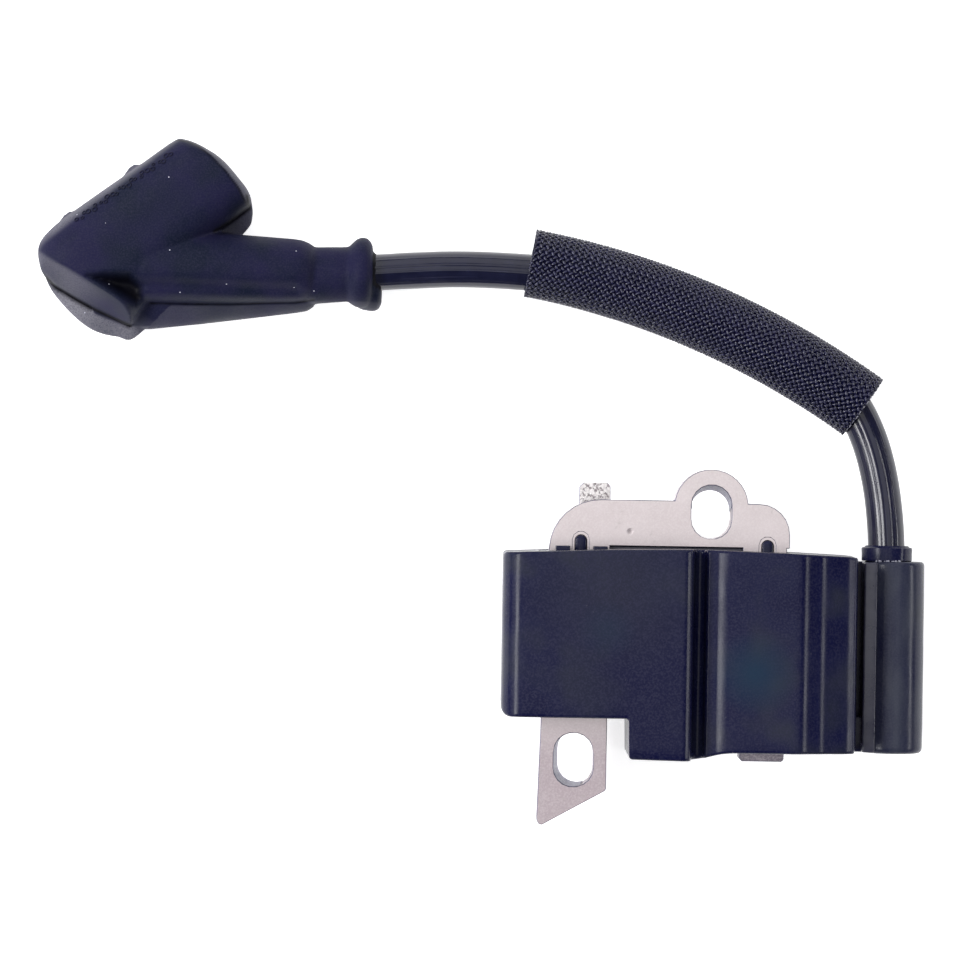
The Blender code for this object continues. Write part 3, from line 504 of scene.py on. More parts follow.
def resistor_body():
    """Lacquered body with coloured value bands across Y."""
    f = Finish("resistor_body")
    rings = f.bands(2.4 * MM, "Y")
    f.ramp(f.noise(1 * MM), [(0.3, (0.48, 0.38, 0.22)), (0.7, (0.58, 0.47, 0.30))])
    f.tint(f.spread(rings, 0.72, 0.76, 0.0, 1.0), (0.28, 0.05, 0.02))
    rough = f.span(f.noise(0.4 * MM), 0.30, 0.44)
    return f.done(rough, (f.noise(0.2 * MM), 0.006 * MM))


def potting_resin():
    """Poured resin: glossy, with trapped bubbles and a faint flow."""
    f = Finish("potting_resin")
    flow = f.noise(5 * MM, 3, distortion=1.5)
    f.ramp(flow, [(0.3, (0.006, 0.006, 0.008)), (0.7, (0.016, 0.015, 0.018))])
    rough = f.span(flow, 0.12, 0.26)
    bubbles = f.spread(f.cells(2.2 * MM), 0.0, 0.12, 0.0, 1.0)
    return f.done(rough, (flow, 0.35 * MM), (bubbles, 0.10 * MM))


# plain ones: (dark colour, light colour, roughness, grain, metallic)
PLAIN = {
    # painted light: a paler case plastic for the tower's shoulder and the core seat's rim, standing in for
    # the light they catch
    "case_painted_light": ((0.022, 0.022, 0.048), (0.060, 0.060, 0.088), 0.3, 0.3 * MM),
    # painted shade: near-black sheet under the yarns, seen between them
    "braid_gap_shade": ((0.001, 0.001, 0.006), (0.003, 0.003, 0.012), 0.7),
    "cut_yarn": ((0.16, 0.16, 0.21), (0.34, 0.34, 0.40), 0.4),
    "set_glue": ((0.16, 0.16, 0.22), (0.42, 0.42, 0.50), 0.25),
    "bobbin_plastic": ((0.50, 0.47, 0.38), (0.62, 0.59, 0.50), 0.46),
    "component_body": ((0.018, 0.018, 0.020), (0.035, 0.035, 0.038), 0.42),
    "film_capacitor": ((0.36, 0.07, 0.02), (0.50, 0.12, 0.035), 0.30),
    "spring_brass": ((0.50, 0.35, 0.13), (0.68, 0.50, 0.22), 0.28, 0.25 * MM, 1.0),
}
FINISHES = {name: plain_finish(name, *row) for name, row in PLAIN.items()}
FINISHES["case_plastic"] = case_plastic("case_plastic")
FINISHES["tower_plastic"] = case_plastic("tower_plastic", 0.55)
for make_finish in (core_steel, core_edge, boot_rubber, braid_yarn, lead_jacket, tinned_steel,
                    enamelled_copper, board_laminate, resistor_body, potting_resin):
    FINISHES[make_finish.__name__] = make_finish()


# ---------- stage

def make_camera():
    data = bpy.data.cameras.new("camera")
    data.lens = CAMERA_LENS
    data.sensor_width = SENSOR_WIDTH
    data.clip_start = 0.01
    data.clip_end = 20.0
    camera = add_object("camera", data)
    camera.location = CAMERA_SPOT
    camera.rotation_euler = (0.0, 0.0, CAMERA_TURN)
    bpy.context.scene.camera = camera


def make_softbox(name, spot, size, radiance):
    """A rectangular lamp that faces the middle of the part; radiance is its own brightness."""
    data = bpy.data.lights.new(name, "AREA")
    data.shape = "RECTANGLE"
    data.size, data.size_y = size
    data.energy = radiance * math.pi * size[0] * size[1]
    lamp = add_object(name, data)
    lamp.location = spot
    lamp.rotation_euler = (PART_MIDDLE - Vector(spot)).to_track_quat("-Z", "Y").to_euler()
    lamp.visible_camera = False


def make_floor():
    bpy.ops.mesh.primitive_plane_add(size=6.0, location=(0, 0, -0.02 * MM))
    floor = bpy.context.active_object
    floor.name = "floor"
    f = Finish("floor_paper")
    cloud = f.noise(0.4, 2)
    f.ramp(cloud, [(0.3, (0.90, 0.90, 0.90)), (0.7, (0.93, 0.93, 0.93))])
    f.set(Emission_Color=(1.0, 1.0, 1.0, 1.0), Emission_Strength=0.7)
    floor.data.materials.append(f.done(f.span(cloud, 0.75, 0.85)))


def make_studio():
    world = bpy.data.worlds.new("studio")
    world.use_nodes = True
    background = world.node_tree.nodes["Background"]
    background.inputs["Color"].default_value = (0.97, 0.98, 1.0, 1.0)
    background.inputs["Strength"].default_value = 0.16
    bpy.context.scene.world = world
    make_softbox("overhead", (-0.05, 0.17, 0.95), (0.9, 0.86), 1.12)
    make_softbox("left", (-0.62, 0.05, 0.60), (0.8, 0.20), 15.0)
    make_softbox("left_low", (-0.84, 0.05, 0.36), (0.8, 0.22), 1.6)
    make_softbox("right", (0.88, 0.00, 0.34), (0.7, 0.14), 9.0)
    make_softbox("front", (0.05, -0.95, 0.10), (0.9, 0.16), 1.0)
    make_softbox("back", (-0.05, 0.88, 0.60), (1.2, 0.60), 1.3)
    bpy.context.scene.view_settings.view_transform = "Standard"


# ---------- lead and sleeve

def lead_ring(point, side, up, sides):
    """Points round the lead, with its faint extrusion ridges."""
    ring = []
    for step in range(sides):
        angle = 360 * step / sides
        radius = LEAD_DIAMETER / 2 - 0.02 * MM
        for centre, height in LEAD_RIDGES:
            radius += height * MM * math.exp(-((angle - centre) / RIDGE_WIDTH) ** 2)
        turn = math.radians(angle)
        spot = point + (side * math.cos(turn) + up * math.sin(turn)) * radius
        ring.append(spot + (spot - point).normalized() * 0.015 * MM * ripple(spot, 2.5 * MM))
    return ring


def map_lead(bm, sides, count):
    """UV map of the lead: once across around it, and 8.5 times along it, so that grain stays even."""
    layer = bm.loops.layers.uv.new("UVMap")
    bm.verts.index_update()
    for face in bm.faces:
        for loop in face.loops:
            ring, step = divmod(loop.vert.index, sides)
            if step == 0 and any(other.vert.index % sides == sides - 1 for other in face.loops):
                step = sides
            loop[layer].uv = (step / sides, ring / count * 8.5)


def make_lead():
    """Mesh tube along the smoothed route."""
    sides = 144
    path = [Vector(point) for point in smooth_route(LEAD_ROUTE, 170)]
    rings = []
    side = None
    for index, point in enumerate(path):
        along = (path[min(index + 1, len(path) - 1)] - path[max(index - 1, 0)]).normalized()
        side = side or along.cross(Vector((0, 0, 1))).normalized()
        side = (side - along * side.dot(along)).normalized()
        rings.append(lead_ring(point, side, side.cross(along), sides))
    bm = skin(rings)
    map_lead(bm, sides, len(path))
    lead = add_piece("high_tension_lead_jacket", bm, "lead_jacket", smooth=180)
    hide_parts("high_tension_lead")
    return lead, path


def sleeve_frame(distance):
    """Point and outward direction on the sleeve's bowed axis."""
    chord = SLEEVE_RIGHT - SLEEVE_LEFT
    outward = Vector((-chord.y, chord.x, 0)).normalized()
    drop = math.sqrt(SLEEVE_BEND ** 2 - chord.length_squared / 4)
    centre = (SLEEVE_LEFT + SLEEVE_RIGHT) / 2 - outward * drop
    first = math.atan2(SLEEVE_LEFT.y - centre.y, SLEEVE_LEFT.x - centre.x)
    angle = first - distance / SLEEVE_BEND
    direction = Vector((math.cos(angle), math.sin(angle), 0))
    return centre + direction * SLEEVE_BEND, direction


def sleeve_length():
    chord = (SLEEVE_RIGHT - SLEEVE_LEFT).length
    return 2 * SLEEVE_BEND * math.asin(chord / 2 / SLEEVE_BEND)


def sleeve_point(distance, around, radius):
    """Spot on the sleeve, whose section is a little flattened and uneven along its length."""
    axis, outward = sleeve_frame(distance)
    uneven = ripple((distance, around * 2 * MM, 0), 9 * MM, 3.0)
    radius *= 1.0 + 0.018 * math.cos(2 * around) + 0.012 * uneven
    return axis + (outward * math.cos(around) + Vector((0, 0, 1)) * math.sin(around)) * radius


def yarn_rings(length, pitch, hand, number):
    """One yarn's rings, each of four points, and how much painted highlight each point gets at the strand's
    crown.
    """
    start = 2 * math.pi * number / YARNS + 0.02 * ripple((number * MM, hand, 0), 3 * MM)
    lift = 0.02 * MM * ripple((number * MM, hand * MM, 0), 0.7 * MM, 5.0)
    slide = STRAND_HALF_WIDTH * 0.7071
    samples = int(length / pitch * 4)
    rings = []
    crown_highlights = []
    for sample in range(samples + 1):
        distance = length * sample / samples
        turns = distance / pitch
        around = start + hand * 2 * math.pi * turns / YARNS
        height = hand * STRAND_RISE * math.cos(2 * math.pi * turns) + lift
        ring = []
        for across, rise in ((-1, 0.0), (0, STRAND_HALF_HEIGHT), (1, 0.0), (0, -STRAND_HALF_HEIGHT)):
            where = distance - hand * across * slide
            turned_by = around + across * slide / SLEEVE_RADIUS
            ring.append(sleeve_point(where, turned_by, SLEEVE_RADIUS + height + rise))
            # painted highlight where the strand rises over its neighbours, stronger on yarns that lie higher
            shown = ease(height + rise, 0.14 * MM, 0.29 * MM)
            crown_highlights.append(shown * (0.55 + 0.45 * lift / (0.02 * MM)))
        rings.append(ring)
    return rings, crown_highlights


def make_weave(length):
    """Two families of yarns that wind in opposite directions and pass over and under."""
    pitch = 2 * math.pi * SLEEVE_RADIUS / YARNS
    bm = bmesh.new()
    crown_highlights = []
    for hand in (1, -1):
        for number in range(YARNS):
            rings, shown = yarn_rings(length, pitch, hand, number)
            skin(rings, bm=bm)
            crown_highlights += shown
    braid = add_piece("braided_sleeve_weave", bm, "braid_yarn", "sleeve", 180)
    paint(braid, "crown_highlight", crown_highlights)
    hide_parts("braided_sleeve")
    return braid


def make_gap_shade(length):
    """Dark tube just under the yarns, painted shade that closes the view between them."""
    inner = []
    outer = []
    steps = 60
    for step in range(steps + 1):
        distance = length * step / steps
        for rings, radius in ((outer, SLEEVE_RADIUS - 0.12 * MM), (inner, SLEEVE_RADIUS - 0.26 * MM)):
            rings.append([sleeve_point(distance, around, radius) for around in full_turn(48)])
    gap_shade = skin(outer + inner[::-1], hollow=True)
    add_piece("braided_sleeve_gap_shade", gap_shade, "braid_gap_shade", "sleeve")


def make_hem(name, distance, size, finish):
    """Sealed or cut end of the sleeve: an uneven ring of yarn ends."""
    rings = []
    for around in full_turn(96):
        spot = (math.cos(around), math.sin(around))
        uneven = 0.10 * MM * ripple((*spot, distance), 0.22)
        thick = size * (1 + 0.3 * ripple((*spot, 1), 0.12))
        ring = []
        for angle in full_turn(8):
            radius = SLEEVE_RADIUS - 0.02 * MM + thick * math.cos(angle)
            ring.append(sleeve_point(distance + uneven + thick * math.sin(angle), around, radius))
        rings.append(ring)
    add_piece("braided_sleeve_hem_" + name, skin(rings, hollow=True), finish, "sleeve", 180)


def make_sleeve():
    length = sleeve_length()
    braid = make_weave(length)
    make_gap_shade(length)
    make_hem("left", 0.0, 0.15 * MM, "braid_yarn")
    make_hem("right", length + 0.05 * MM, 0.07 * MM, "cut_yarn")
    return braid


# ---------- case

def case_front_line():
    """Height of the case's front across X, in mm: block, groove, chamber and its wavy slope."""
    points = arc((-25.3, 18.8), 3.2, 180, 90, 14)
    points += [(-4.7, 22.0), (-4.2, 21.96), (-3.98, 21.86), (-3.56, 21.57), (-3.36, 21.36)]
    groove_line = [(-3.28, 21.0), (-2.95, 17.7), (-2.3, 17.2), (-1.6, 17.5), (-1.3, 18.85), (0.0, 19.12),
                   (0.25, 19.2), (0.95, 19.5), (1.6, 19.72), (2.4, 19.88), (3.3, 19.97), (4.2, 20.0)]
    points += rounded_line(groove_line, 0.4)
    slope = [(10.6, 20.0), (11.5, 19.87), (12.25, 19.4), (13.5, 18.88), (13.9, 18.78), (14.6, 18.35),
             (17.7, 17.1), (18.75, 16.37), (19.2, 12.2)]
    points += rounded_line(slope, 0.35)
    return points


def case_low_line():
    """Lower outline of the case in plan, in mm."""
    points = arc((-27.1, -7.85), 1.4, 180, 270, 8)
    corners = [(-27.0, -9.25), (-11.5, -9.25), (-11.4, -14.6), (-3.4, -14.78), (-1.9, -14.6), (0.9, -13.85),
               (2.4, -13.7), (18.7, -13.7), (19.2, -13.4)]
    return points + rounded_line(corners, 0.5)


def case_high_line():
    """Upper outline of the case in plan, in mm."""
    points = arc((-27.9, 12.0), 0.6, 180, 90, 5)
    corners = [(-27.8, 12.6), (-14.1, 13.15), (-3.8, 13.3), (9.5, 13.0), (18.7, 12.6), (19.2, 12.2)]
    return points + rounded_line(corners, 1.5)


def line_value(line, x):
    """Height of a line of points at x."""
    return float(np.interp(x, [p[0] for p in line], [p[1] for p in line]))


def case_section(x, low, high, top, inset):
    """Ring of points about the case at one X, in mm: up the low side, over the front and down."""
    edge = EDGE_RADIUS / MM
    ridge = 0.0 if inset else 0.07
    part = PARTING_HEIGHT / MM
    back = -1.0 if inset else 0.0
    side = [(0.0, back), (0.0, part - 0.18), (-ridge, part), (0.0, part + 0.18), (0.0, top - edge)]
    for step in range(1, 5):
        angle = math.pi / 2 * step / 5
        side.append((edge * (1 - math.cos(angle)), top - edge * (1 - math.sin(angle))))
    ring = [(x, low + y, z) for y, z in side]
    rows = 18
    for row in range(rows + 1):
        ring.append((x, low + edge + (high - low - 2 * edge) * row / rows, top))
    ring += [(x, high - y, z) for y, z in reversed(side)]
    return ring


def case_stations(lines):
    """The X values, in mm, at which the case has a section."""
    first, last = CASE_LEFT / MM, CASE_RIGHT / MM
    stations = {round(point[0], 3) for line in lines for point in line}
    stations |= {round(x, 3) for x in np.arange(-28.0, 19.0, 1.2)}
    kept = []
    for x in sorted(stations):
        if first <= x <= last and (not kept or x - kept[-1] > 0.02):
            kept.append(x)
    return kept


def case_shell(inset=0.0):
    """Closed loft of the case along X; inset moves every wall in, for the hollow."""
    lines = case_front_line(), case_low_line(), case_high_line()
    front, low, high = lines
    first, last = CASE_LEFT / MM, CASE_RIGHT / MM
    rings = []
    for x in case_stations(lines):
        place = x
        if inset:
            place = first + inset + (x - first) * (last - first - 2 * inset) / (last - first)
        top = line_value(front, x)
        bottom, head = line_value(low, x) + inset, line_value(high, x) - inset
        section = case_section(place, bottom, head, top - inset, inset)
        ring = []
        for spot in section:
            point = Vector(spot) * MM
            if not inset:
                wave = 0.05 * MM * ripple(point, 9 * MM) + 0.02 * MM * ripple(point, 1.6 * MM, 4.0)
                point.y += 0.5 * wave * (1 if spot[1] > 0 else -1)
                if abs(spot[2] - top) < 0.01:
                    point.z += 0.6 * wave
            ring.append(point)
        rings.append(ring)
    return skin(rings)


def cut(piece, name, bm):
    """Cut a closed shape out of a piece, at once."""
    tool = add_object(name, mesh_of(name, bm))
    modifier = piece.modifiers.new(name, "BOOLEAN")
    modifier.operation = "DIFFERENCE"
    modifier.solver = "EXACT"
    modifier.object = tool
    piece.data = baked(piece)
    piece.modifiers.clear()
    bpy.data.objects.remove(tool)


def block(x0, x1, y0, y1, z0, z1, rounding=0.0):
    """Box in mm, its edges rounded."""
    bm = bmesh.new()
    bmesh.ops.create_cube(bm, size=1.0)
    low, high = Vector((x0, y0, z0)), Vector((x1, y1, z1))
    for vert in bm.verts:
        share = vert.co + Vector((0.5, 0.5, 0.5))
        vert.co = (low + share * (high - low)) * MM
    if rounding:
        bmesh.ops.bevel(bm, geom=bm.edges, offset=rounding * MM, segments=3, profile=0.5, affect="EDGES")
    return bm


def make_case():
    shell = add_piece("coil_housing_shell", case_shell(), "case_plastic")
    cut(shell, "hollow", case_shell(1.6))
    for name, x0, x1 in (("left_tunnel", -23.7, -13.9), ("middle_tunnel", 3.3, 9.8)):
        cut(shell, name, block(x0, x1, -16.0, 15.0, 7.7, 14.3))
    shade(shell.data, 34)
    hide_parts("coil_housing")


def uneven_turned(profile, axis_x, steps, height, size):
    """Rings in mm about the tower's direction, pushed in and out by smooth noise."""
    rings = turned([(y * MM, radius * MM) for y, radius in profile], (axis_x, 0, TOWER_Z), (0, 1, 0), steps)
    for ring in rings:
        for point in ring:
            outward = (point - Vector((axis_x, point.y, TOWER_Z))).normalized()
            point += outward * height * MM * ripple(point, size * MM)
    return rings


def make_tower():
    """Round tower that tapers towards the lead, bored for it, and the web that joins it to the case."""
    low, high = -13.85, 12.0
    profile = [(low, 3.55), (low + 0.08, 3.85), (low + 0.25, 4.08), (low + 0.5, 4.19), (low + 0.9, 4.23)]
    steps = 24
    for step in range(1, steps):
        share = step / steps
        profile.append((low + 0.9 + (high - low - 1.5) * share, 4.23 - 0.06 * share))
    profile += [(high - 0.5, 4.15), (high - 0.2, 4.05), (high - 0.03, 3.85), (high, 3.6)]
    tower = add_piece("lead_tower", skin(uneven_turned(profile, TOWER_X, 72, 0.03, 4.0)), "tower_plastic")
    bore = turned([(-4.5 * MM, 2.75 * MM), (13 * MM, 2.75 * MM)], (LEAD_AXIS_X, 0, TOWER_Z), (0, 1, 0))
    cut(tower, "bore", skin(bore))
    shade(tower.data, 40)
    for name, box, finish in (
            ("web", (18.2, 21.9, -13.75, 11.9, 3.6, 5.4, 0.3), "case_plastic"),
            ("web_foot", (18.2, 21.9, -13.75, -9.0, 3.6, 8.9, 0.3), "case_plastic"),
            # the shoulder is lightened with painted light
            ("shoulder", (20.15, 21.9, -13.7, 11.85, 3.9, 11.5, 0.25), "case_painted_light")):
        add_piece("tower_" + name, block(*box), finish)


def make_key_bars():
    """The two plastic bars that fill the slits at the yoke, with a torn, domed top."""
    for name, x, top in SLITS:
        rings = []
        for z, shrink in ((7.5, 0.0), (13.2, 0.0), (14.1, 0.02), (14.32, 0.10), (14.42, 0.25)):
            half = BAR_HALF_WIDTH - shrink
            outline = [(u, top - BAR_HALF_WIDTH + v) for u, v in arc((0, 0), half, 0, 180, 10)]
            outline += [(-half, 11.6), (half, 11.6)]
            rings.append([Vector((x + u, y, z)) * MM for u, y in outline])
        add_piece("key_bar_" + name, skin(rings), "case_plastic")
    for name, x in (("left", -20.55), ("right", -15.55)):
        add_piece("rim_lip_" + name, block(x - 0.95, x + 0.95, 12.6, 13.50, 14.2, 19.0, 0.12), "case_plastic")
    for name, box, finish in (
            ("left_slit", (-19.4, -16.8, 11.6, 15.6, 5.6, 7.7, 0.1), "case_plastic"),
            ("right_slit", (5.6, 8.2, 11.6, 15.3, 5.6, 7.7, 0.1), "case_plastic"),
            # the rim is lightened with painted light
            ("rim", (-14.6, 8.6, 12.4, 13.52, 5.6, 13.2, 0.1), "case_painted_light")):
        add_piece("core_seat_" + name, block(*box), finish)


def slot_wall(curve, section, lean=Vector((0, 0))):
    """Liner of a slot: (centre, outward direction) along a plan curve, (radius, lean, z) across it."""
    rings = []
    for centre, outward in curve:
        ring = []
        for radius, share, z in section:
            plan = centre + outward * radius + lean * share
            ring.append(Vector((*plan, z)) * MM)
        rings.append(ring)
    return skin(rings)


def bow(centre, start, end, steps):
    """(centre, outward direction) pairs round part of a circle."""
    return [(Vector(centre), Vector(way)) for way in arc((0, 0), 1.0, start, end, steps)]


def make_slot_walls():
    """Draft of the screw slots: their lower sheets sit a little proud of the top one."""
    section = ((2.78, 0.0, 13.93), (2.66, 0.0, 13.93), (2.60, 1.0, 8.1), (2.78, 0.0, 8.1))
    upper = bow((-0.67, 19.2), -8, 188, 30)
    lower = bow((-18.65, -14.25), 90, 180, 14) + bow((-18.65, -16.11), 180, 290, 16)
    for name, curve, lean in (("upper", upper, (0.0, -0.62)), ("lower", lower, (0.58, 0.30))):
        wall = slot_wall(curve, section, Vector(lean))
        add_piece(name + "_screw_slot_wall", wall, "core_edge")


def make_slit_lips():
    """Steel lips that narrow the two slits in the yoke to the bars' width."""
    section = ((1.22, 0.0, 13.96), (0.86, 0.0, 13.96), (0.86, 0.0, 8.0), (1.22, 0.0, 8.0))
    for name, x, top in SLITS:
        middle = top - BAR_HALF_WIDTH
        foot = Vector((x, middle - 3.0))
        curve = [(foot, Vector((-1, 0)))] + bow((x, middle), 180, 0, 14) + [(foot, Vector((1, 0)))]
        add_piece("slit_lip_" + name, slot_wall(curve, section), "core_steel")


def make_collar():
    """Glued-in collar round the lead."""
    seat = 12.02
    profile = [(seat, 2.70), (seat, 3.30), (seat + 0.1, 3.42), (seat + 0.8, 3.40), (13.6, 3.44), (13.8, 3.40),
               (13.9, 3.25), (13.86, 3.05), (14.0, 2.98), (14.1, 2.90), (14.1, 2.72)]
    rings = uneven_turned(profile, LEAD_AXIS_X, 64, 0.05, 1.4)
    collar = add_piece("lead_collar_ring", skin(rings, hollow=True), "case_plastic")
    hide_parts("lead_collar")


def make_glue_beads():
    """Beads of set adhesive along the collar's foot."""
    bm = bmesh.new()
    for index in range(11):
        across = -1.6 + 0.33 * index + 0.10 * math.sin(index * 2.3)
        size = 0.15 + 0.05 * math.sin(index * 1.7)
        spot = Vector((LEAD_AXIS_X / MM + across, 12.02 + 0.06 * math.sin(index * 3.1),
                       TOWER_Z / MM + math.sqrt(3.5 ** 2 - across ** 2))) * MM
        made = bmesh.ops.create_icosphere(bm, subdivisions=2, radius=size * MM)
        bmesh.ops.translate(bm, verts=made["verts"], vec=spot)
    add_piece("collar_glue_beads", bm, "set_glue")


# ---------- boot

def lobe(sections):
    """Closed loft of (centre, across, half width, half height, squareness) sections."""
    rings = []
    for centre, across, half_width, half_height, power in sections:
        ring = []
        for angle in full_turn(44):
            c, s = math.cos(angle), math.sin(angle)
            u = math.copysign(abs(c) ** (2 / power), c) * half_width
            v = math.copysign(abs(s) ** (2 / power), s) * half_height
            ring.append(centre + across * u + Vector((0, 0, v)))
        rings.append(ring)
    return skin(rings)


def tube(rows, power):
    """Lobe along X from rows in mm: (x, lower y, upper y, centre height, half height)."""
    sections = []
    for x, lower, upper, height, half_height in rows:
        centre = Vector((x, (lower + upper) / 2, height)) * MM
        sections.append((centre, Vector((0, 1, 0)), (upper - lower) / 2 * MM, half_height * MM, power))
    return lobe(sections)


def nib(inward, sideways):
    """Small lug on the barrel's upper left edge."""
    sections = []
    for shift, half in ((-1.2, 0.2), (-0.8, 0.6), (0.0, 0.72), (0.9, 0.6), (1.3, 0.2)):
        spot = barrel_spot(inward + shift, sideways, 7.6)
        sections.append((spot, UPPER_LEFT, half * MM, 0.5 * half * MM, 2.0))
    return lobe(sections)


def barrel_spot(inward, sideways, height):
    """Row frame spot at (inward, upper left) mm from the mouth, at a height in mm."""
    spot = BOOT_MOUTH + (INWARD * inward + UPPER_LEFT * sideways) * MM
    spot.z = height * MM
    return spot


def from_mouth(point):
    """(inward, upper left) distances from the mouth, in mm."""
    offset = (Vector(point) - BOOT_MOUTH) / MM
    return offset.dot(INWARD), offset.dot(UPPER_LEFT)


def closed_curve(points, steps=5):
    """Closed smooth curve through plan points."""
    made = []
    count = len(points)
    for index in range(count):
        p0, p1, p2, p3 = [Vector(points[(index + shift) % count]) for shift in (-1, 0, 1, 2)]
        for step in range(steps):
            t = step / steps
            blend = (p1 * 2 + (p2 - p0) * t + (p0 * 2 - p1 * 5 + p2 * 4 - p3) * t * t
                     + (p1 * 3 - p0 - p2 * 3 + p3) * t ** 3) / 2
            made.append(blend)
    return made


def pillow(outline, spine, height, rise, drop, power):
    """Solid that swells from a closed plan outline, thickest over its spine; lengths in mm."""
    first, last = Vector(spine[0]), Vector(spine[1])
    run = last - first
    levels = 14
    rings = []
    for level in range(1 - levels, levels):
        angle = math.pi / 2 * level / levels
        reach = math.cos(angle) ** (2 / power)
        lift = abs(math.sin(angle)) ** (2 / power) * (rise if level > 0 else -drop)
        ring = []
        for spot in outline:
            share = min(max((spot - first).dot(run) / run.length_squared, 0.0), 1.0)
            middle = first + run * share
            plan = middle + (spot - middle) * reach
            ring.append(barrel_spot(plan.x, plan.y, height + lift))
        rings.append(ring)
    return skin(rings)


def trim(bm, spots):
    """Cut by the plane through three (inward, upper left, height) spots, and keep the mouth's side."""
    points = [barrel_spot(*spot) for spot in spots]
    normal = (points[1] - points[0]).cross(points[2] - points[0]).normalized()
    if normal.dot(INWARD) < 0:
        normal.negate()
    geometry = bm.verts[:] + bm.edges[:] + bm.faces[:]
    bmesh.ops.bisect_plane(bm, geom=geometry, plane_co=points[0], plane_no=normal, clear_outer=True)
    bmesh.ops.holes_fill(bm, edges=bm.edges[:], sides=0)


# plan outlines of the barrel's two mould halves, (inward, upper left) in mm from the mouth
UPPER_HALF = [
    (1.0, 6.85), (-0.15, 6.0), (-0.85, 4.7), (-1.45, 3.0), (-1.95, 1.2), (-2.1, -0.9), (-1.8, -3.4),
    (-1.3, -5.4), (-0.4, -6.5), (1.6, -6.5), (8.0, -6.0), (15.0, -6.2), (20.5, -6.7), (22.6, -7.0),
    (23.6, -4.7), (24.6, -2.1), (25.5, 0.8), (26.3, 3.9), (26.4, 5.9), (25.6, 7.7), (24.3, 9.2),
    (22.6, 9.8), (19.5, 9.75), (14.0, 8.95), (7.0, 7.8),
]
LOWER_HALF = [
    (1.2, 5.6), (0.2, 4.0), (-0.4, 1.0), (-0.8, -2.5), (-1.1, -5.3), (-0.3, -6.9), (0.8, -7.95),
    (1.9, -8.45), (5.0, -8.6), (12.0, -8.5), (19.0, -8.5), (22.9, -8.5), (24.3, -8.05), (24.9, -6.9),
    (26.1, -5.2), (26.9, -3.4), (27.3, -1.0), (27.3, 2.0), (26.9, 4.7), (25.8, 6.6), (22.5, 7.6),
    (12.0, 7.0),
]

# the lead tube's pieces: (x, lower y, upper y, centre height, half height) in mm
LIP = [(-47.4, 47.2, 52.5, 6.4, 2.62), (-46.35, 47.2, 52.5, 6.4, 2.62), (-46.2, 47.3, 52.4, 6.4, 2.5)]
TUBE_TOP = [
    (-84.5, 47.0, 53.0, 7.0, 4.2), (-81.0, 45.6, 55.4, 7.0, 5.2), (-77.0, 45.2, 55.7, 7.0, 5.6),
    (-70.0, 45.2, 55.15, 7.0, 5.6), (-64.0, 45.3, 54.66, 6.9, 5.4), (-57.5, 45.6, 54.25, 6.8, 5.1),
    (-56.3, 45.7, 54.1, 6.7, 5.0), (-55.3, 45.9, 53.7, 6.6, 4.6), (-54.6, 46.1, 53.2, 6.5, 4.0),
]
TUBE_LOW = [
    (-84.5, 43.6, 51.0, 4.6, 3.6), (-80.5, 41.9, 53.5, 4.5, 3.9), (-77.0, 41.75, 54.4, 4.4, 3.9),
    (-70.0, 42.55, 54.2, 4.5, 3.8), (-64.0, 43.35, 54.0, 4.5, 3.8), (-57.0, 44.3, 53.7, 4.6, 3.8),
    (-55.6, 44.55, 53.5, 4.7, 3.6), (-54.6, 45.2, 53.0, 5.0, 3.2),
]
NECK = [
    (-58.0, 45.7, 52.9, 6.5, 3.6), (-54.4, 45.5, 53.2, 6.5, 3.85), (-50.0, 45.9, 53.3, 6.5, 3.7),
    (-49.5, 45.5, 53.85, 6.5, 4.2), (-48.9, 45.15, 54.4, 6.5, 4.65), (-48.2, 45.05, 54.65, 6.5, 4.8),
    (-47.5, 45.15, 54.5, 6.5, 4.65), (-47.0, 45.6, 54.0, 6.5, 4.2), (-46.75, 46.2, 53.4, 6.5, 3.6),
]
HEEL = [
    (-49.3, 45.5, 50.0, 4.9, 3.2), (-48.2, 44.9, 50.2, 4.8, 3.6), (-46.6, 44.65, 50.4, 4.8, 3.8),
    (-45.9, 44.95, 50.2, 4.8, 3.6), (-45.5, 45.7, 49.8, 4.8, 3.0),
]


def boot_blank():
    """Upper and lower mould halves of the barrel and of the lead tube, as overlapping solids."""
    top = pillow(closed_curve(UPPER_HALF), ((-1.0, 0.2), (18.5, 1.4)), 6.1, 6.7, 5.2, 2.9)
    trim(top, [(23.3, 5.6, 12.4), (20.6, -5.6, 12.4), (26.3, 4.5, 6.6)])
    low = pillow(closed_curve(LOWER_HALF), ((0.8, -1.2), (20.0, -0.6)), 4.9, 1.1, 4.7, 2.6)
    parts = [top, low]
    for rows, power in ((LIP, 2.0), (TUBE_TOP, 2.05), (TUBE_LOW, 2.4), (NECK, 2.0), (HEEL, 2.0)):
        parts.append(tube(rows, power))
    parts += [nib(7.9, 7.75), nib(18.6, 9.25)]
    whole = bmesh.new()
    for part in parts:
        mesh = mesh_of("part", part)
        whole.from_mesh(mesh)
        bpy.data.meshes.remove(mesh)
    return whole


def remeshed(mesh, voxel):
    """Voxel remesh of a mesh, then a little smoothing."""
    piece = add_object("remesh", mesh)
    remesh = piece.modifiers.new("remesh", "REMESH")
    remesh.mode = "VOXEL"
    remesh.voxel_size = voxel
    smooth = piece.modifiers.new("smooth", "SMOOTH")
    smooth.factor = 0.5
    smooth.iterations = 3
    made = baked(piece)
    bpy.data.objects.remove(piece)
    return made


def route_distance(point, route):
    """Distance from a plan point to a route of straight runs."""
    nearest = 1e9
    for first, last in zip(route, route[1:]):
        first, last = Vector(first), Vector(last)
        run = last - first
        share = min(max((point - first).dot(run) / run.length_squared, 0.0), 1.0)
        nearest = min(nearest, (point - first - run * share).length)
    return nearest


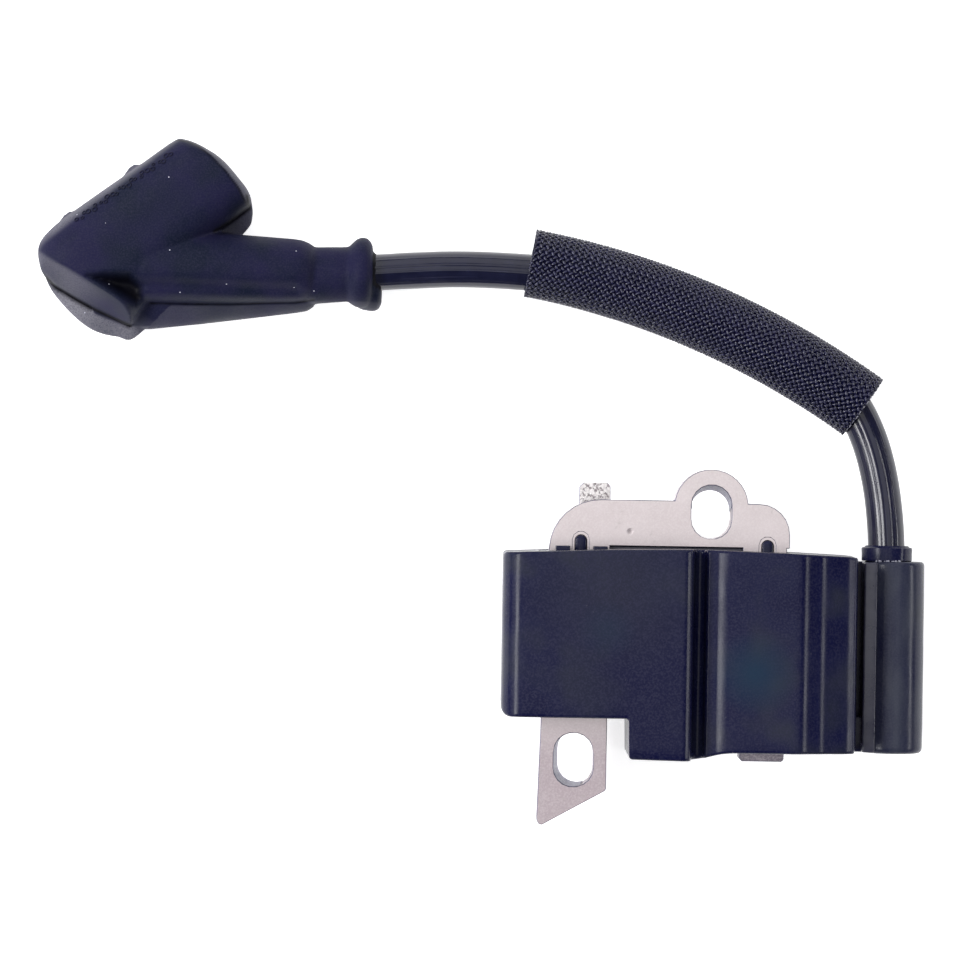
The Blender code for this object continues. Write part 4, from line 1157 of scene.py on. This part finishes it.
def groove(point, route, width, depth):
    """Depth at a plan point of a soft groove that follows a plan route, all in mm."""
    return depth * math.exp(-(route_distance(point, route) / width) ** 2)


# plan routes in mm: on the tube in the row frame, on the barrel as (inward, upper left)
PARTING_ROUTE = [(-76.6, 45.2), (-72.0, 45.15), (-66.0, 45.2), (-61.0, 45.45), (-57.0, 45.6), (-54.6, 46.0)]
VALLEY_ROUTE = [(-80.5, 47.6), (-72.0, 47.6), (-64.0, 47.35), (-57.0, 47.2)]
POCKET = [
    (-84.9, 48.6), (-82.4, 49.0), (-79.2, 49.0), (-77.6, 47.4), (-77.4, 45.6), (-78.4, 44.9), (-79.6, 45.5),
]
END_ROUTE = [(26.35, 6.2), (26.3, 3.9), (25.5, 0.8), (24.6, -2.1), (23.6, -4.7), (22.7, -6.9)]
MOUTH_ROUTE = [(-0.9, -5.6), (0.0, -6.75), (2.5, -6.45), (5.6, -5.9)]


def pocket_depth(point):
    """Distance in mm of a plan point inside the pocket's outline; negative outside it."""
    outline = POCKET + POCKET[:1]
    inside = False
    for (x0, y0), (x1, y1) in zip(outline, outline[1:]):
        if (y0 > point.y) != (y1 > point.y) and point.x < x0 + (x1 - x0) * (point.y - y0) / (y1 - y0):
            inside = not inside
    nearest = route_distance(point, outline)
    return nearest if inside else -nearest


def sculpt_boot(mesh):
    """Press in the pocket beside the elbow, the tube's valley and the parting lines."""
    for vert in mesh.vertices:
        point = vert.co.xy / MM
        height = vert.co.z / MM
        plan = Vector(from_mouth(vert.co))
        sink = 0.0
        if height > 6.0 and -87.0 < point.x < -75.0 and point.y < 51.5:
            sink += 1.9 * ease(pocket_depth(point), -0.6, 1.2)
        if height > 5.0 and point.x > -82.0 and point.y < 50.0:
            sink += groove(point, PARTING_ROUTE, 0.24, 0.28)
            sink += groove(point, VALLEY_ROUTE, 0.85, 0.60)
        if height > 3.0 and plan.x > 20.0:
            sink += groove(plan, END_ROUTE, 0.30, 0.6)
        vert.co.z -= sink * MM


def rim_edge(sideways):
    """Distance from the mouth, in mm, of the edge where the rim's pale band starts."""
    known = [(-6.8, 0.0), (-4.3, -0.85), (-1.5, -1.2), (1.5, -1.2), (3.8, -0.9), (5.2, -0.3), (6.5, 0.6)]
    return line_value(known, sideways)


def painted_light_of(point):
    """How much painted light the rubber gets: lower mould half, elbow's slanted end, rim and upper left
    shoulder, which face the lamps and the white floor.
    """
    inward, sideways = from_mouth(point)
    height = point.z / MM
    wave = 0.75 + 0.35 * ripple(point, 4 * MM)
    low = 1 - ease(height, 5.7, 6.4)
    elbow = low * ease(inward, 21.0, 23.5)
    heel = low * ease(point.x / MM, -49.5, -48.5)
    if sideways < -8.8:
        plan = point.xy / MM
        beyond = 0.20 * (1 - ease(plan.y - line_value(PARTING_ROUTE, plan.x), -0.35, 0.0))
        return max(beyond * ease(plan.x, -80.0, -77.0), 0.5 * heel, elbow) * wave
    slant = ease(inward - 0.26 * sideways, 21.9, 22.6) * (0.15 + 0.85 * ease(sideways, -4.0, 4.0))
    edge = rim_edge(sideways)
    rim = (1 - ease(inward, edge - 0.12, edge + 0.05)) * ease(height, 6.0, 7.0)
    shoulder = 0.5 * ease(sideways - 0.115 * inward, 5.7, 6.9) * ease(height, 6.0, 8.0)
    return max(0.38 * low, elbow, 0.42 * slant, 0.60 * rim, shoulder) * wave


def crease_of(point):
    """How deep the shade in the rubber is: parting lines, pocket and the gap round the lead."""
    plan = point.xy / MM
    height = point.z / MM
    barrel = Vector(from_mouth(point))
    dark = 0.0
    if height > 3.0 and barrel.x > 20.0:
        dark = max(dark, groove(barrel, END_ROUTE, 0.24, 1.1))
    if height > 7.0 and barrel.x < 1.0 and barrel.y > -7.0:
        dark = max(dark, 0.8 * math.exp(-((barrel.x - rim_edge(barrel.y) - 0.12) / 0.12) ** 2))
    if height > 3.0 and barrel.x < 7.0 and barrel.y > -9.0:
        dark = max(dark, groove(barrel, MOUTH_ROUTE, 0.22, 1.0))
    if height > 4.0 and plan.x > -78.0 and plan.y < 48.0:
        dark = max(dark, groove(plan, PARTING_ROUTE, 0.13, 0.75 + 0.5 * ripple(point, 1.2 * MM)))
    if height > 4.0 and -87.0 < plan.x < -74.0 and plan.y < 51.5:
        dark = max(dark, ease(pocket_depth(plan), -0.5, 0.9))
    gap = Vector((plan.y - 49.85, height - 6.4)).length
    if plan.x > -46.95 and gap < 2.9:
        dark = 1.0
    return min(dark, 1.0)


def dot_rings(spot, normal, size):
    """Small ring-shaped dot on a surface; size in mm."""
    side = normal.orthogonal().normalized()
    other = normal.cross(side)
    rings = []
    for angle in full_turn(16):
        outward = side * math.cos(angle) + other * math.sin(angle)
        ring = []
        for turn in full_turn(6):
            across = size + 0.11 * math.cos(turn)
            ring.append(spot + (outward * across + normal * 0.10 * math.sin(turn)) * MM)
        rings.append(ring)
    return rings


def make_marks(boot):
    """Row of plain raised dots along the barrel, seated on its surface."""
    graph = bpy.context.evaluated_depsgraph_get()
    graph.update()
    tree = BVHTree.FromObject(boot, graph)
    bm = bmesh.new()
    for index in range(25):
        inward = 2.6 + 0.63 * index + 0.12 * math.sin(index * 3.7)
        sideways = 5.45 + 0.165 * (inward - 2.6) + 0.28 * math.sin(index * 2.1)
        above = barrel_spot(inward, sideways, 20.0)
        spot, normal, _, _ = tree.ray_cast(above, Vector((0, 0, -1)))
        size = 0.27 + 0.07 * math.sin(index * 1.3)
        skin(dot_rings(spot, normal, size), hollow=True, bm=bm)
    marks = add_piece("boot_moulded_dots", bm, "boot_rubber", smooth=180)
    # the dots are darkened through the crease attribute
    paint(marks, "crease", [0.45] * len(marks.data.vertices))


def make_boot():
    mesh = remeshed(mesh_of("boot", boot_blank()), 0.24 * MM)
    sculpt_boot(mesh)
    boot = add_mesh("spark_plug_boot_body", mesh, "boot_rubber", smooth=180)
    profile = [(-4, 4.6), (17, 4.6), (17, 3.4), (21, 3.4)]
    cut(boot, "socket", skin(turned([(s * MM, r * MM) for s, r in profile], BOOT_MOUTH, INWARD, 64)))
    paint(boot, "painted_light", [painted_light_of(vert.co) for vert in boot.data.vertices])
    paint(boot, "crease", [crease_of(vert.co) for vert in boot.data.vertices])
    shade(boot.data, 50)
    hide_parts("spark_plug_boot")
    return boot


# ---------- carried-over nodes

def finish_cad_nodes():
    """Each CAD node takes its slot's finish; the visible metal gets eased edges."""
    slots = {row["node"]: row["material_slot"] for row in frame["record"]["subparts"]}
    for name, node in frame["nodes"].items():
        node.data.materials.clear()
        node.data.materials.append(FINISHES[slots[name]])
        if name.startswith("core_lamination") or name == "stop_terminal":
            weld = node.modifiers.new("weld", "WELD")
            weld.merge_threshold = 0.001 * MM
            node.data.materials.append(FINISHES["core_edge"])
            bevel = node.modifiers.new("bevel", "BEVEL")
            bevel.material = 1
            bevel.width = 0.09 * MM
            bevel.segments = 2
            bevel.limit_method = "ANGLE"
            bevel.angle_limit = math.radians(40)
            bevel.harden_normals = True


make_camera()
make_floor()
make_studio()
finish_cad_nodes()
lead, lead_path = make_lead()
sleeve = make_sleeve()
make_case()
make_tower()
make_key_bars()
make_slot_walls()
make_slit_lips()
make_collar()
make_glue_beads()
boot = make_boot()
make_marks(boot)
